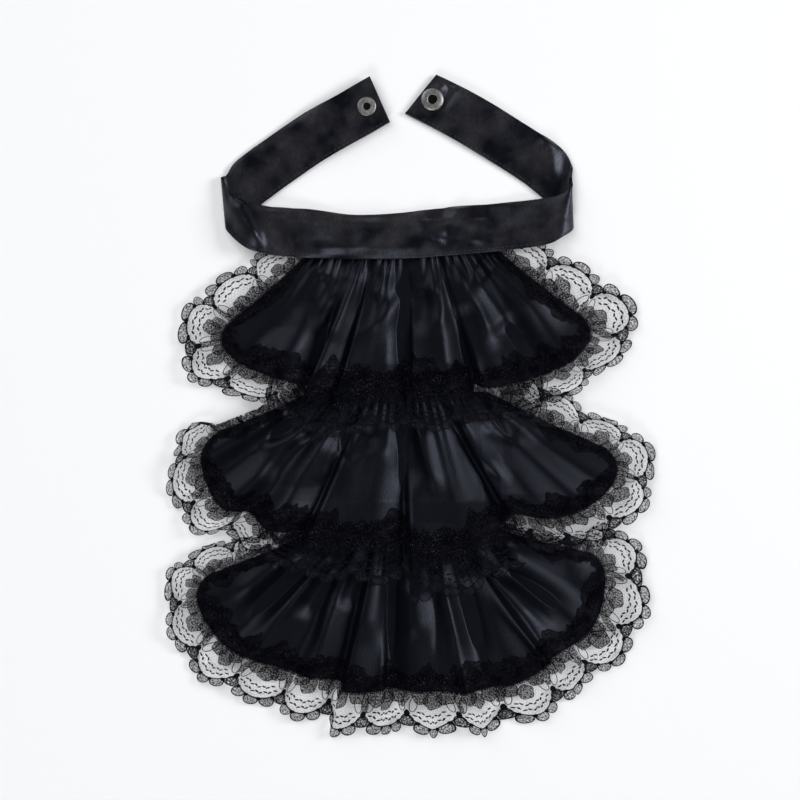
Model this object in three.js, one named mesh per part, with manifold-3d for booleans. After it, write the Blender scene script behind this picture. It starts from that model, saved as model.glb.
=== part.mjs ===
// Jabot laid flat on a table: a satin neck band with a snap at its ends, and three
// gathered satin ruffles, one above the other, each edged with scalloped lace.
// Millimetres. +X is to the right as seen from above, +Y runs from the ruffles to the
// strap ends, +Z is up. The origin ends up at the middle of the object's base.
import * as THREE from 'three';
import { mergeVertices } from 'three/addons/utils/BufferGeometryUtils.js';
import Module from 'manifold-3d';

// Cloth walls and the gaps between pieces
const SATIN_WALL = 1.1;
const LACE_WALL = 1.0;
const BAND_WALL = 1.6;
const CARRIER_WALL = 1.2;
const EDGE_GAP = 0.7;
const LAYER_GAP = 0.4;

// Neck band
const BAND_WIDTH = 27.5;
const LOOP_HALF_WIDTH = 96.1;
const LOOP_HEIGHT = 75.4;
const ROLL_HEIGHT = 6.5;
const BAND_ARCH = 4.2;

// Carrier panel that the headers are sewn to
const CARRIER_WIDTH = 84;
const CARRIER_TUCK = 6;
const CARRIER_TAIL = 10;

// Ruffles
const HEADER_TUCK = 3.3;
const HEADER_RISE = 4.4;
const MIDDLE_HEADER_DROP = 73.7;
const BOTTOM_HEADER_DROP = 148.5;
const TOP_FALL = 77;
const MIDDLE_FALL = 90.2;
const BOTTOM_FALL = 90.2;
const TOP_SPREAD = 101.8;
const MIDDLE_SPREAD = 115.2;
const BOTTOM_SPREAD = 113;
const TOP_HEADER = 50.6;
const MIDDLE_HEADER = 48.4;
const BOTTOM_HEADER = 45.4;
const TOP_CUT = 70;
const MIDDLE_CUT = 84;
const BOTTOM_CUT = 86;
const FOLD_HEIGHT = 12;
const GATHER_SHARE = 0.22;
const CORNER_RADIUS = 12;

// Lace edging
const LACE_REACH = 28;
const LACE_START = 6;
const LACE_SETTLE = 0.6;
const LOBE_DEPTH = 3.2;
const LOBE_PITCH = 6.7;
const LOBE_SQUEEZE = 0.24;
const LOBES_PER_SCALLOP = 4;
const SCALLOP_DEPTH = 10;
const SEAM_TAPE = 3.5;
const RIM_TAPE = 4.5;

// Snap halves
const SOCKET_RADIUS = 6.25;
const SOCKET_HOLE_RADIUS = 2.4;
const SOCKET_HEIGHT = 1.4;
const SOCKET_CAP_RADIUS = 5.6;
const SOCKET_INSET = 6.9;
const STUD_RING_RADIUS = 5.25;
const STUD_HOLE_RADIUS = 1.9;
const STUD_RING_HEIGHT = 0.9;
const STUD_BASE_RADIUS = 5.0;
const STUD_RADIUS = 2.1;
const STUD_LENGTH = 2.2;
const STUD_INSET = 8.1;
const SNAP_POST_RADIUS = 2.9;
const SNAP_PLATE = 0.8;
const SNAP_GAP = 0.3;
const SNAP_SIDES = 16;

// Outlines of the snap halves, as shares of the radius or the height that each row is of
const SOCKET_RING = { edge: 0.35, shoulder: 0.83, shoulderDrop: 0.1, lip: 1.25, lipDrop: 0.2 };
const STUD_RING = { edge: 0.45, shoulder: 0.86, lip: 1.25, lipHeight: 0.5 };
const STUD_KNOB = { tip: 0.85, waist: 0.8, bulge: 0.7 };

// The band from its left end to its right end. x and y place its lower edge, as shares of
// LOOP_HALF_WIDTH and LOOP_HEIGHT. bearing is the direction from the lower edge to the
// upper one, in degrees. level is a share of ROLL_HEIGHT and arch a share of BAND_ARCH.
const BAND_SECTIONS = [
  { x: -0.046, y: 0.999, bearing: 114, level: 0.0, arch: 0.0 },
  { x: -0.183, y: 0.898, bearing: 121, level: 0.0, arch: 0.0 },
  { x: -0.418, y: 0.730, bearing: 120, level: 0.0, arch: 0.2 },
  { x: -0.607, y: 0.569, bearing: 124, level: 0.0, arch: 0.1 },
  { x: -0.778, y: 0.409, bearing: 120, level: 0.0, arch: 0.0 },
  { x: -0.916, y: 0.263, bearing: 104, level: 0.1, arch: 0.0 },
  { x: -0.984, y: 0.219, bearing: 95, level: 0.55, arch: 0.0 },
  { x: -0.870, y: 0.080, bearing: 101, level: 1.0, arch: 0.3 },
  { x: -0.721, y: 0.022, bearing: 98, level: 0.85, arch: 0.3 },
  { x: -0.544, y: 0.007, bearing: 94, level: 0.35, arch: 0.5 },
  { x: -0.275, y: 0.0, bearing: 92, level: 0.0, arch: 1.4 },
  { x: 0.011, y: 0.0, bearing: 90, level: 0.0, arch: 1.2 },
  { x: 0.280, y: 0.022, bearing: 86, level: 0.0, arch: 0.7 },
  { x: 0.601, y: 0.058, bearing: 80, level: 0.2, arch: 0.6 },
  { x: 0.841, y: 0.095, bearing: 78, level: 0.8, arch: 0.3 },
  { x: 0.938, y: 0.153, bearing: 80, level: 1.0, arch: 0.1 },
  { x: 1.001, y: 0.234, bearing: 92, level: 0.5, arch: 0.0 },
  { x: 0.904, y: 0.365, bearing: 72, level: 0.05, arch: 0.0 },
  { x: 0.727, y: 0.555, bearing: 54, level: 0.0, arch: 0.1 },
  { x: 0.458, y: 0.774, bearing: 56, level: 0.0, arch: 0.2 },
  { x: 0.240, y: 0.934, bearing: 57, level: 0.0, arch: 0.0 },
  { x: 0.040, y: 1.066, bearing: 51, level: 0.0, arch: 0.0 },
];
const BAND_STEPS_PER_SECTION = 3;
const BAND_STEPS_ACROSS = 2;
const END_RAMP_SECTIONS = 2;
const ARCH_SHORTENING = 8 / 3;
const RUN_STEP = 0.02;
const SLOPE_SPAN = 0.05;

// Folds of each ruffle from left to right, one row for each ridge, shoulder or valley.
// head is a share of half the header, x and y are shares of the spread and the fall at the
// hem, and lift is a share of FOLD_HEIGHT.
const TOP_FOLDS = [
  { head: -1.00, x: -1.04, y: 0.60, lift: 0.35 },
  { head: -0.89, x: -0.89, y: 0.79, lift: 0.05 },
  { head: -0.72, x: -0.69, y: 0.90, lift: 0.80 },
  { head: -0.59, x: -0.49, y: 0.96, lift: 0.05 },
  { head: -0.43, x: -0.52, y: 0.99, lift: 1.00 },
  { head: -0.35, x: -0.32, y: 0.96, lift: 0.15 },
  { head: -0.24, x: -0.35, y: 1.01, lift: 0.85 },
  { head: -0.09, x: -0.12, y: 0.99, lift: 0.60 },
  { head: 0.02, x: 0.02, y: 0.93, lift: 0.00 },
  { head: 0.17, x: 0.06, y: 0.97, lift: 0.80 },
  { head: 0.33, x: 0.24, y: 0.99, lift: 0.90 },
  { head: 0.41, x: 0.37, y: 0.94, lift: 0.05 },
  { head: 0.50, x: 0.46, y: 0.97, lift: 0.90 },
  { head: 0.61, x: 0.62, y: 0.93, lift: 0.55 },
  { head: 0.74, x: 0.77, y: 0.87, lift: 0.05 },
  { head: 0.88, x: 0.93, y: 0.76, lift: 0.95 },
  { head: 1.00, x: 1.06, y: 0.54, lift: 0.40 },
];
const MIDDLE_FOLDS = [
  { head: -1.00, x: -0.98, y: 0.27, lift: 0.45 },
  { head: -0.91, x: -1.00, y: 0.40, lift: 0.85 },
  { head: -0.82, x: -0.98, y: 0.56, lift: 0.10 },
  { head: -0.73, x: -0.90, y: 0.71, lift: 0.75 },
  { head: -0.63, x: -0.77, y: 0.74, lift: 0.05 },
  { head: -0.55, x: -0.68, y: 0.84, lift: 0.85 },
  { head: -0.43, x: -0.51, y: 0.85, lift: 0.10 },
  { head: -0.34, x: -0.47, y: 0.89, lift: 0.90 },
  { head: -0.16, x: -0.21, y: 0.89, lift: 0.65 },
  { head: -0.02, x: -0.03, y: 0.87, lift: 0.00 },
  { head: 0.13, x: 0.02, y: 0.99, lift: 0.90 },
  { head: 0.32, x: 0.26, y: 0.94, lift: 0.65 },
  { head: 0.43, x: 0.46, y: 0.78, lift: 0.05 },
  { head: 0.53, x: 0.49, y: 0.74, lift: 0.95 },
  { head: 0.67, x: 0.67, y: 0.77, lift: 0.60 },
  { head: 0.80, x: 0.84, y: 0.71, lift: 0.10 },
  { head: 0.91, x: 0.96, y: 0.57, lift: 0.85 },
  { head: 1.00, x: 1.01, y: 0.38, lift: 0.40 },
];
const BOTTOM_FOLDS = [
  { head: -1.00, x: -1.00, y: 0.32, lift: 0.35 },
  { head: -0.90, x: -0.96, y: 0.52, lift: 0.65 },
  { head: -0.81, x: -0.86, y: 0.71, lift: 0.08 },
  { head: -0.70, x: -0.74, y: 0.79, lift: 0.85 },
  { head: -0.59, x: -0.55, y: 0.87, lift: 0.08 },
  { head: -0.49, x: -0.44, y: 0.91, lift: 0.90 },
  { head: -0.39, x: -0.29, y: 0.94, lift: 0.08 },
  { head: -0.30, x: -0.26, y: 1.00, lift: 1.00 },
  { head: -0.20, x: -0.10, y: 1.00, lift: 0.55 },
  { head: -0.10, x: -0.04, y: 0.98, lift: 0.00 },
  { head: 0.04, x: 0.09, y: 1.00, lift: 0.75 },
  { head: 0.24, x: 0.23, y: 1.00, lift: 0.60 },
  { head: 0.38, x: 0.33, y: 1.01, lift: 0.90 },
  { head: 0.47, x: 0.45, y: 0.98, lift: 0.10 },
  { head: 0.54, x: 0.59, y: 0.95, lift: 0.35 },
  { head: 0.60, x: 0.73, y: 0.85, lift: 0.10 },
  { head: 0.67, x: 0.76, y: 0.78, lift: 0.95 },
  { head: 0.77, x: 0.93, y: 0.65, lift: 0.05 },
  { head: 0.89, x: 1.00, y: 0.43, lift: 0.80 },
  { head: 1.00, x: 1.01, y: 0.17, lift: 0.40 },
];

// How much of the lace shows, as a share of LACE_REACH, a share of the way along it from
// the left end of the header. The rest is tucked in under the edge.
const TOP_LIE = [
  { along: 0.00, reach: 0.65 },
  { along: 0.12, reach: 0.90 },
  { along: 0.20, reach: 0.95 },
  { along: 0.28, reach: 0.60 },
  { along: 0.38, reach: 0.90 },
  { along: 0.50, reach: 0.90 },
  { along: 0.65, reach: 0.75 },
  { along: 0.77, reach: 0.60 },
  { along: 0.84, reach: 1.05 },
  { along: 0.90, reach: 0.90 },
  { along: 1.00, reach: 0.65 },
];
const MIDDLE_LIE = [
  { along: 0.00, reach: 0.85 },
  { along: 0.03, reach: 0.75 },
  { along: 0.07, reach: 0.15 },
  { along: 0.13, reach: 0.15 },
  { along: 0.18, reach: 0.75 },
  { along: 0.24, reach: 0.85 },
  { along: 0.32, reach: 0.65 },
  { along: 0.42, reach: 0.90 },
  { along: 0.50, reach: 1.00 },
  { along: 0.70, reach: 0.90 },
  { along: 0.82, reach: 0.85 },
  { along: 0.88, reach: 0.55 },
  { along: 0.94, reach: 0.75 },
  { along: 1.00, reach: 0.80 },
];
const BOTTOM_LIE = [
  { along: 0.00, reach: 0.40 },
  { along: 0.06, reach: 0.40 },
  { along: 0.12, reach: 0.55 },
  { along: 0.18, reach: 0.75 },
  { along: 0.28, reach: 0.90 },
  { along: 0.40, reach: 0.95 },
  { along: 0.70, reach: 0.90 },
  { along: 0.80, reach: 1.05 },
  { along: 0.85, reach: 0.80 },
  { along: 0.89, reach: 0.25 },
  { along: 1.00, reach: 0.20 },
];

// The three ruffles from the lowest layer up. headerMiddle and hemMiddle are how far the
// header and the hem sit off the band's middle, as shares of the header and the spread, and
// rise is how far a header climbs to its right end.
const RUFFLE_FORMS = [
  {
    name: 'bottom', headerY: -BOTTOM_HEADER_DROP, fall: BOTTOM_FALL, spread: BOTTOM_SPREAD,
    header: BOTTOM_HEADER, cut: BOTTOM_CUT, headerMiddle: 0.08, hemMiddle: 0.0, rise: 0,
    folds: BOTTOM_FOLDS, lie: BOTTOM_LIE,
  },
  {
    name: 'middle', headerY: -MIDDLE_HEADER_DROP, fall: MIDDLE_FALL, spread: MIDDLE_SPREAD,
    header: MIDDLE_HEADER, cut: MIDDLE_CUT, headerMiddle: 0.02, hemMiddle: 0.06, rise: 0,
    folds: MIDDLE_FOLDS, lie: MIDDLE_LIE,
  },
  {
    name: 'top', headerY: HEADER_TUCK, fall: TOP_FALL, spread: TOP_SPREAD,
    header: TOP_HEADER, cut: TOP_CUT, headerMiddle: 0.02, hemMiddle: 0.03, rise: HEADER_RISE,
    folds: TOP_FOLDS, lie: TOP_LIE,
  },
];

// How a fold runs from header to hem, and how finely the ruffles are divided
const FOLD_BEND = { across: 0.42, along: 0.5 };
const RUFFLE_ROWS = [0, 0.14, 0.4, 0.7, 1];
const HEM_SAMPLES_PER_FOLD = 24;
const LACE_MIDDLE = 0.55;
const NORMAL_STEP = 0.5;

// Grid on which the height of the lower layers is kept
const PILE_CELL = 4;
const PILE_REACH = 2;
const PILE_SAMPLE = 2.5;

const wasm = await Module();
wasm.setup();

const clamp = (value, low, high) => Math.min(Math.max(value, low), high);
const smooth = (f) => f * f * (3 - 2 * f);
const lerp = (from, to, f) => from + (to - from) * f;

/** The two rows round a place in a table, the rows beyond them, and the share between. */
function rowsRound(table, place) {
  const row = clamp(Math.floor(place), 0, table.length - 2);
  const at = (index) => table[clamp(index, 0, table.length - 1)];
  return { before: at(row - 1), from: at(row), to: at(row + 1), after: at(row + 2), share: place - row };
}

/** A column of a table on a smooth curve through its rows. */
function curved(table, column, place) {
  const { before, from, to, after, share } = rowsRound(table, place);
  const [p0, p1, p2, p3] = [before[column], from[column], to[column], after[column]];
  const linear = (p2 - p0) / 2;
  const square = p0 - 2.5 * p1 + 2 * p2 - p3 / 2;
  const cube = (p3 - p0) / 2 + 1.5 * (p1 - p2);
  return p1 + share * (linear + share * (square + share * cube));
}

/** A column of a table eased from row to row, so that it never passes the rows' own values. */
function eased(table, column, place) {
  const { from, to, share } = rowsRound(table, place);
  return lerp(from[column], to[column], smooth(share));
}

/** The height of everything laid down so far, as a smooth cover over its highest points. */
class Pile {
  constructor() {
    this.tops = new Map();
    this.covers = new Map();
  }

  add(point, wall) {
    const key = `${Math.floor(point.x / PILE_CELL)},${Math.floor(point.y / PILE_CELL)}`;
    this.tops.set(key, Math.max(this.tops.get(key) ?? 0, point.z + wall / 2));
    this.covers.clear();
  }

  highest(column, row) {
    let top = 0;
    for (let i = -PILE_REACH; i <= PILE_REACH; i += 1) {
      for (let j = -PILE_REACH; j <= PILE_REACH; j += 1) {
        top = Math.max(top, this.tops.get(`${column + i},${row + j}`) ?? 0);
      }
    }
    return top;
  }

  cover(column, row) {
    const key = `${column},${row}`;
    if (!this.covers.has(key)) {
      let sum = 0;
      for (let i = -1; i <= 1; i += 1) {
        for (let j = -1; j <= 1; j += 1) {
          sum += this.highest(column + i, row + j) / 9;
        }
      }
      this.covers.set(key, sum);
    }
    return this.covers.get(key);
  }

  at(x, y) {
    const across = x / PILE_CELL - 0.5;
    const along = y / PILE_CELL - 0.5;
    const column = Math.floor(across);
    const row = Math.floor(along);
    const near = lerp(this.cover(column, row), this.cover(column + 1, row), across - column);
    const far = lerp(this.cover(column, row + 1), this.cover(column + 1, row + 1), across - column);
    return lerp(near, far, along - row);
  }
}

/** A closed plate of even thickness round a middle surface of points, normals and quads. */
function plateGeometry(points, normals, quads, wall) {
  const positions = [];
  const count = points.length;
  for (const side of [1, -1]) {
    points.forEach((point, i) => {
      const p = point.clone().addScaledVector(normals[i], (side * wall) / 2);
      positions.push(p.x, p.y, p.z);
    });
  }
  const indices = [];
  const edges = new Map();
  for (const [a, b, c, d] of quads) {
    indices.push(a, b, c, a, c, d);
    indices.push(a + count, c + count, b + count, a + count, d + count, c + count);
    for (const [from, to] of [[a, b], [b, c], [c, d], [d, a]]) {
      edges.set(`${from},${to}`, [from, to]);
    }
  }
  for (const [from, to] of edges.values()) {
    if (!edges.has(`${to},${from}`)) {
      indices.push(from, from + count, to + count, from, to + count, to);
    }
  }
  const geometry = new THREE.BufferGeometry();
  geometry.setAttribute('position', new THREE.Float32BufferAttribute(positions, 3));
  geometry.setIndex(indices);
  return geometry;
}

/** One ruffle: its cloth in flat cut sizes (a along the hem, b down from the header) and in place. */
class Ruffle {
  constructor(form, pile) {
    Object.assign(this, form);
    this.pile = pile;
    this.lengths = [0];
    const last = (form.folds.length - 1) * HEM_SAMPLES_PER_FOLD;
    let from = this.raised(0, 1);
    for (let i = 1; i <= last; i += 1) {
      const to = this.raised(i / HEM_SAMPLES_PER_FOLD, 1);
      this.lengths.push(this.lengths[i - 1] + to.distanceTo(from));
      from = to;
    }
    this.width = this.lengths[last];
  }

  /** Place in the fold table of a distance along the hem. */
  placeAt(a) {
    const index = this.lengths.findIndex((length) => length >= a);
    if (index <= 0) {
      return index < 0 ? this.folds.length - 1 : 0;
    }
    const from = this.lengths[index - 1];
    return (index - 1 + (a - from) / (this.lengths[index] - from)) / HEM_SAMPLES_PER_FOLD;
  }

  /** Header, bend and hem points, in plan, of the fold line at a place in the table. */
  foldLine(place) {
    const share = curved(this.folds, 'head', place);
    const head = new THREE.Vector2(
      (this.headerMiddle + share) * this.header,
      this.headerY + this.rise * Math.max(share, 0) ** 2,
    );
    const hem = new THREE.Vector2(
      (this.hemMiddle + curved(this.folds, 'x', place)) * this.spread,
      this.headerY - curved(this.folds, 'y', place) * this.fall,
    );
    const bend = new THREE.Vector2(
      lerp(head.x, hem.x, FOLD_BEND.across),
      lerp(head.y, hem.y, FOLD_BEND.along),
    );
    return { head, bend, hem };
  }

  plan(place, t) {
    const { head, bend, hem } = this.foldLine(place);
    const s = 1 - t;
    return new THREE.Vector2(
      s * s * head.x + 2 * s * t * bend.x + t * t * hem.x,
      s * s * head.y + 2 * s * t * bend.y + t * t * hem.y,
    );
  }

  /** Direction of the fold line in plan, pointing down to the hem. */
  runAt(place, t) {
    const { head, bend, hem } = this.foldLine(place);
    const start = bend.clone().sub(head).multiplyScalar(1 - t);
    return start.addScaledVector(hem.clone().sub(bend), t).normalize();
  }

  ownHeight(place, t) {
    return eased(this.folds, 'lift', place) * FOLD_HEIGHT * lerp(GATHER_SHARE, 1, smooth(t));
  }

  raised(place, t) {
    const plan = this.plan(place, t);
    return new THREE.Vector3(plan.x, plan.y, this.ownHeight(place, t));
  }

  /**
   * Point of the cloth's middle surface for a place on the cut, also beyond its edges, where
   * drop is how far it has settled, from 0 at the edge to 1.
   */
  at(a, b, drop = 0) {
    const place = this.placeAt(clamp(a, 0, this.width));
    const t = clamp(b, 0, this.cut) / this.cut;
    const side = a < 0 ? -1 : 1;
    const beside = Math.max(-a, a - this.width, 0);
    const below = Math.max(b - this.cut, 0);
    const run = this.runAt(place, t);
    const plan = this.plan(place, t).addScaledVector(run, below);
    plan.x += -side * run.y * beside;
    plan.y += side * run.x * beside;
    const own = this.ownHeight(place, t) * (1 - LACE_SETTLE * drop);
    const seat = this.pile.at(plan.x, plan.y) + LAYER_GAP + SATIN_WALL / 2;
    return new THREE.Vector3(plan.x, plan.y, seat + own);
  }

  normalAt(a, b, drop = 0) {
    const across = this.at(a + NORMAL_STEP, b, drop).sub(this.at(a - NORMAL_STEP, b, drop));
    const down = this.at(a, b + NORMAL_STEP, drop).sub(this.at(a, b - NORMAL_STEP, drop));
    return down.cross(across).normalize();
  }

  /** Share of the lace that shows, a share of the way along it. */
  lieAt(along) {
    const to = Math.max(this.lie.findIndex((row) => row.along >= along), 1);
    const [from, next] = [this.lie[to - 1], this.lie[to]];
    return lerp(from.reach, next.reach, smooth((along - from.along) / (next.along - from.along)));
  }

  /** Lengths of the edge that carries lace: side, corner and hem, the corner at the lace's middle. */
  edgeLengths() {
    const side = this.cut - CORNER_RADIUS - LACE_START;
    const corner = (CORNER_RADIUS + LACE_REACH * LACE_MIDDLE) * (Math.PI / 2);
    const hem = this.width - 2 * CORNER_RADIUS;
    return { side, corner, hem, whole: 2 * (side + corner) + hem };
  }

  /** Point of the cut's edge and its outward direction, a distance along the lace. */
  edgeAt(distance) {
    const { side, corner, hem, whole } = this.edgeLengths();
    const mirrored = distance > whole / 2;
    const run = mirrored ? whole - distance : distance;
    const sign = mirrored ? -1 : 1;
    const near = (a) => (mirrored ? this.width - a : a);
    if (run < side) {
      return { a: near(0), b: LACE_START + run, outA: -sign, outB: 0, part: 'side' };
    }
    if (run < side + corner) {
      const turn = ((run - side) / corner) * (Math.PI / 2);
      return {
        a: near(CORNER_RADIUS * (1 - Math.cos(turn))),
        b: this.cut - CORNER_RADIUS * (1 - Math.sin(turn)),
        outA: -sign * Math.cos(turn), outB: Math.sin(turn), part: 'corner',
      };
    }
    const along = Math.min(run - side - corner, hem / 2);
    return { a: near(CORNER_RADIUS + along), b: this.cut, outA: 0, outB: 1, part: 'hem' };
  }

  /** The places along the edge where the lace is divided, one for each lobe of its rim. */
  stations() {
    const { whole } = this.edgeLengths();
    const scallops = Math.round(whole / (LOBE_PITCH * LOBES_PER_SCALLOP));
    const count = scallops * LOBES_PER_SCALLOP;
    return Array.from({ length: count + 1 }, (_, i) => (
      { ...this.edgeAt((whole * i) / count), reach: this.lieAt(i / count) }
    ));
  }

  /** Columns of the satin: its two sides and every station on the corners and the hem. */
  columns() {
    const stations = this.stations();
    const first = stations.findIndex((edge) => edge.part !== 'side');
    const last = stations.findLastIndex((edge) => edge.part !== 'side');
    return stations.slice(first - 1, last + 2);
  }

  satinGeometry() {
    const columns = this.columns();
    const points = [];
    const normals = [];
    const quads = [];
    for (const column of columns) {
      for (const share of RUFFLE_ROWS) {
        points.push(this.at(column.a, column.b * share));
        normals.push(this.normalAt(column.a, column.b * share));
      }
    }
    const rows = RUFFLE_ROWS.length;
    for (let i = 0; i + 1 < columns.length; i += 1) {
      for (let j = 0; j + 1 < rows; j += 1) {
        const corner = i * rows + j;
        quads.push([corner, corner + 1, corner + rows + 1, corner + rows]);
      }
    }
    return plateGeometry(points, normals, quads, SATIN_WALL);
  }

  /** Point on the straight pieces of the satin's side edge, which the lace's seam follows. */
  sidePoint(edge) {
    const end = this.columns().at(edge.a > 0 ? -1 : 0).b;
    const share = Math.min(edge.b / end, 1);
    const row = RUFFLE_ROWS.findIndex((value, i) => i > 0 && share <= value);
    const from = RUFFLE_ROWS[row - 1];
    const f = (share - from) / (RUFFLE_ROWS[row] - from);
    return this.at(edge.a, from * end).lerp(this.at(edge.a, RUFFLE_ROWS[row] * end), f);
  }

  /** The flat place and the drop of a point of the lace, out from the satin's edge. */
  laceSpot(edge, out) {
    const shown = EDGE_GAP + (out - EDGE_GAP) * edge.reach;
    return [edge.a + edge.outA * shown, edge.b + edge.outB * shown, out / LACE_REACH];
  }

  lacePoint(edge, out) {
    const point = this.at(...this.laceSpot(edge, out));
    if (edge.part === 'side' && out < SEAM_TAPE) {
      point.add(this.sidePoint(edge)).sub(this.at(edge.a, edge.b));
    }
    return point;
  }

  laceGeometry() {
    const edges = this.stations();
    const points = [];
    const normals = [];
    const quads = [];
    const rimAt = (i) => {
      const share = (i % LOBES_PER_SCALLOP) / LOBES_PER_SCALLOP;
      return LACE_REACH - LOBE_DEPTH - SCALLOP_DEPTH * (1 - Math.sin(Math.PI * share));
    };
    const push = (edge, out) => {
      points.push(this.lacePoint(edge, out));
      const spot = out > EDGE_GAP ? this.laceSpot(edge, out) : [edge.a, edge.b];
      normals.push(this.normalAt(...spot));
      return points.length - 1;
    };
    const grid = edges.map((edge, i) => {
      const rim = rimAt(i);
      const cells = [EDGE_GAP, SEAM_TAPE, rim - RIM_TAPE, rim].map((out) => push(edge, out));
      return Object.assign(cells, { reach: edge.reach });
    });
    for (let i = 0; i + 1 < edges.length; i += 1) {
      const lobe = i % LOBES_PER_SCALLOP;
      const window = lobe !== 0 && lobe !== LOBES_PER_SCALLOP - 1;
      const [near, far] = [grid[i], grid[i + 1]];
      for (let j = 0; j < 3; j += 1) {
        if (j !== 1 || !window) {
          quads.push([near[j], near[j + 1], far[j + 1], far[j]]);
        }
      }
      const tips = [LOBE_SQUEEZE, 1 - LOBE_SQUEEZE].map((share) => {
        const base = points[near[3]].clone().lerp(points[far[3]], share);
        const inner = points[near[2]].clone().lerp(points[far[2]], share);
        const tip = base.clone().add(base.clone().sub(inner).setLength(LOBE_DEPTH * near.reach));
        points.push(tip);
        normals.push(normals[near[3]].clone().lerp(normals[far[3]], share).normalize());
        return points.length - 1;
      });
      quads.push([near[3], tips[0], tips[1], far[3]]);
    }
    return plateGeometry(points, normals, quads, LACE_WALL);
  }

  /** Lays the ruffle on the pile, for what comes above it. */
  settle() {
    const points = [];
    for (let a = 0; a < this.width; a += PILE_SAMPLE) {
      for (let b = 0; b < this.cut; b += PILE_SAMPLE) {
        points.push(this.at(a, b));
      }
    }
    for (const edge of this.stations()) {
      for (let out = EDGE_GAP; out < LACE_REACH; out += PILE_SAMPLE) {
        points.push(this.lacePoint(edge, out));
      }
    }
    points.forEach((point) => this.pile.add(point, SATIN_WALL));
  }
}

/** The neck band: a ribbon through its sections, seated on the ruffles under its front. */
class Band {
  constructor(pile) {
    this.pile = pile;
    this.last = BAND_SECTIONS.length - 1;
  }

  /** How far a strap end is raised by the snap half under it. */
  endLift(place) {
    const socketLift = SNAP_GAP + SNAP_PLATE;
    const studLift = socketLift + STUD_LENGTH;
    const ramp = (fromEnd) => 1 - smooth(clamp((fromEnd - 1) / END_RAMP_SECTIONS, 0, 1));
    return studLift * ramp(place) + socketLift * ramp(this.last - place);
  }

  at(place, share) {
    const arch = BAND_ARCH * Math.max(curved(BAND_SECTIONS, 'arch', place), 0);
    const chord = BAND_WIDTH * (1 - ARCH_SHORTENING * (arch / BAND_WIDTH) ** 2);
    const bearing = THREE.MathUtils.degToRad(curved(BAND_SECTIONS, 'bearing', place));
    const x = curved(BAND_SECTIONS, 'x', place) * LOOP_HALF_WIDTH + Math.cos(bearing) * chord * share;
    const y = curved(BAND_SECTIONS, 'y', place) * LOOP_HEIGHT + Math.sin(bearing) * chord * share;
    const level = Math.max(curved(BAND_SECTIONS, 'level', place), 0) * ROLL_HEIGHT;
    const cover = this.pile.at(x, y);
    const seat = cover + Math.min(cover, LAYER_GAP);
    const z = BAND_WALL / 2 + seat + level + this.endLift(place) + arch * 4 * share * (1 - share);
    return new THREE.Vector3(x, y, z);
  }

  /** Place of the middle line a distance in from one end. */
  placeFromEnd(inset, fromLeft) {
    let run = 0;
    let place = fromLeft ? 0 : this.last;
    while (run < inset) {
      const next = place + (fromLeft ? RUN_STEP : -RUN_STEP);
      run += this.at(next, 0.5).distanceTo(this.at(place, 0.5));
      place = next;
    }
    return place;
  }

  snapPoint(inset, fromLeft) {
    return this.at(this.placeFromEnd(inset, fromLeft), 0.5);
  }

  plate() {
    const sections = this.last * BAND_STEPS_PER_SECTION;
    const points = [];
    const normals = [];
    const quads = [];
    const across = BAND_STEPS_ACROSS + 1;
    for (let i = 0; i <= sections; i += 1) {
      const place = i / BAND_STEPS_PER_SECTION;
      for (let j = 0; j < across; j += 1) {
        const share = j / BAND_STEPS_ACROSS;
        points.push(this.at(place, share));
        const forward = this.at(Math.min(place + SLOPE_SPAN, this.last), share)
          .sub(this.at(Math.max(place - SLOPE_SPAN, 0), share));
        const upward = this.at(place, share + SLOPE_SPAN).sub(this.at(place, share - SLOPE_SPAN));
        normals.push(forward.cross(upward).normalize());
      }
    }
    for (let i = 0; i < sections; i += 1) {
      for (let j = 0; j < BAND_STEPS_ACROSS; j += 1) {
        const corner = i * across + j;
        quads.push([corner, corner + across, corner + across + 1, corner + 1]);
      }
    }
    return plateGeometry(points, normals, quads, BAND_WALL);
  }

  geometry() {
    let solid = toManifold(this.plate());
    for (const [inset, fromLeft] of [[STUD_INSET, true], [SOCKET_INSET, false]]) {
      const centre = this.snapPoint(inset, fromLeft);
      const radius = SNAP_POST_RADIUS + SNAP_GAP;
      const punch = turned([[0, -BAND_WALL], [radius, -BAND_WALL], [radius, BAND_WALL], [0, BAND_WALL]]);
      solid = solid.subtract(toManifold(punch.translate(centre.x, centre.y, centre.z)));
    }
    return fromManifold(solid);
  }
}

/** A solid turned about +Z from a profile of radius and height that starts and ends on the axis. */
function turned(profile) {
  const outline = profile.map(([radius, height]) => new THREE.Vector2(radius, height));
  return new THREE.LatheGeometry(outline, SNAP_SIDES).rotateX(Math.PI / 2);
}

function toManifold(geometry) {
  const bare = geometry.clone();
  bare.deleteAttribute('normal');
  bare.deleteAttribute('uv');
  const merged = mergeVertices(bare, 1e-4);
  return new wasm.Manifold(new wasm.Mesh({
    numProp: 3,
    vertProperties: new Float32Array(merged.attributes.position.array),
    triVerts: new Uint32Array(merged.index.array),
  }));
}

function fromManifold(solid) {
  const mesh = solid.getMesh();
  const geometry = new THREE.BufferGeometry();
  geometry.setAttribute('position', new THREE.Float32BufferAttribute(mesh.vertProperties, 3));
  geometry.setIndex(Array.from(mesh.triVerts));
  return geometry;
}

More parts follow.
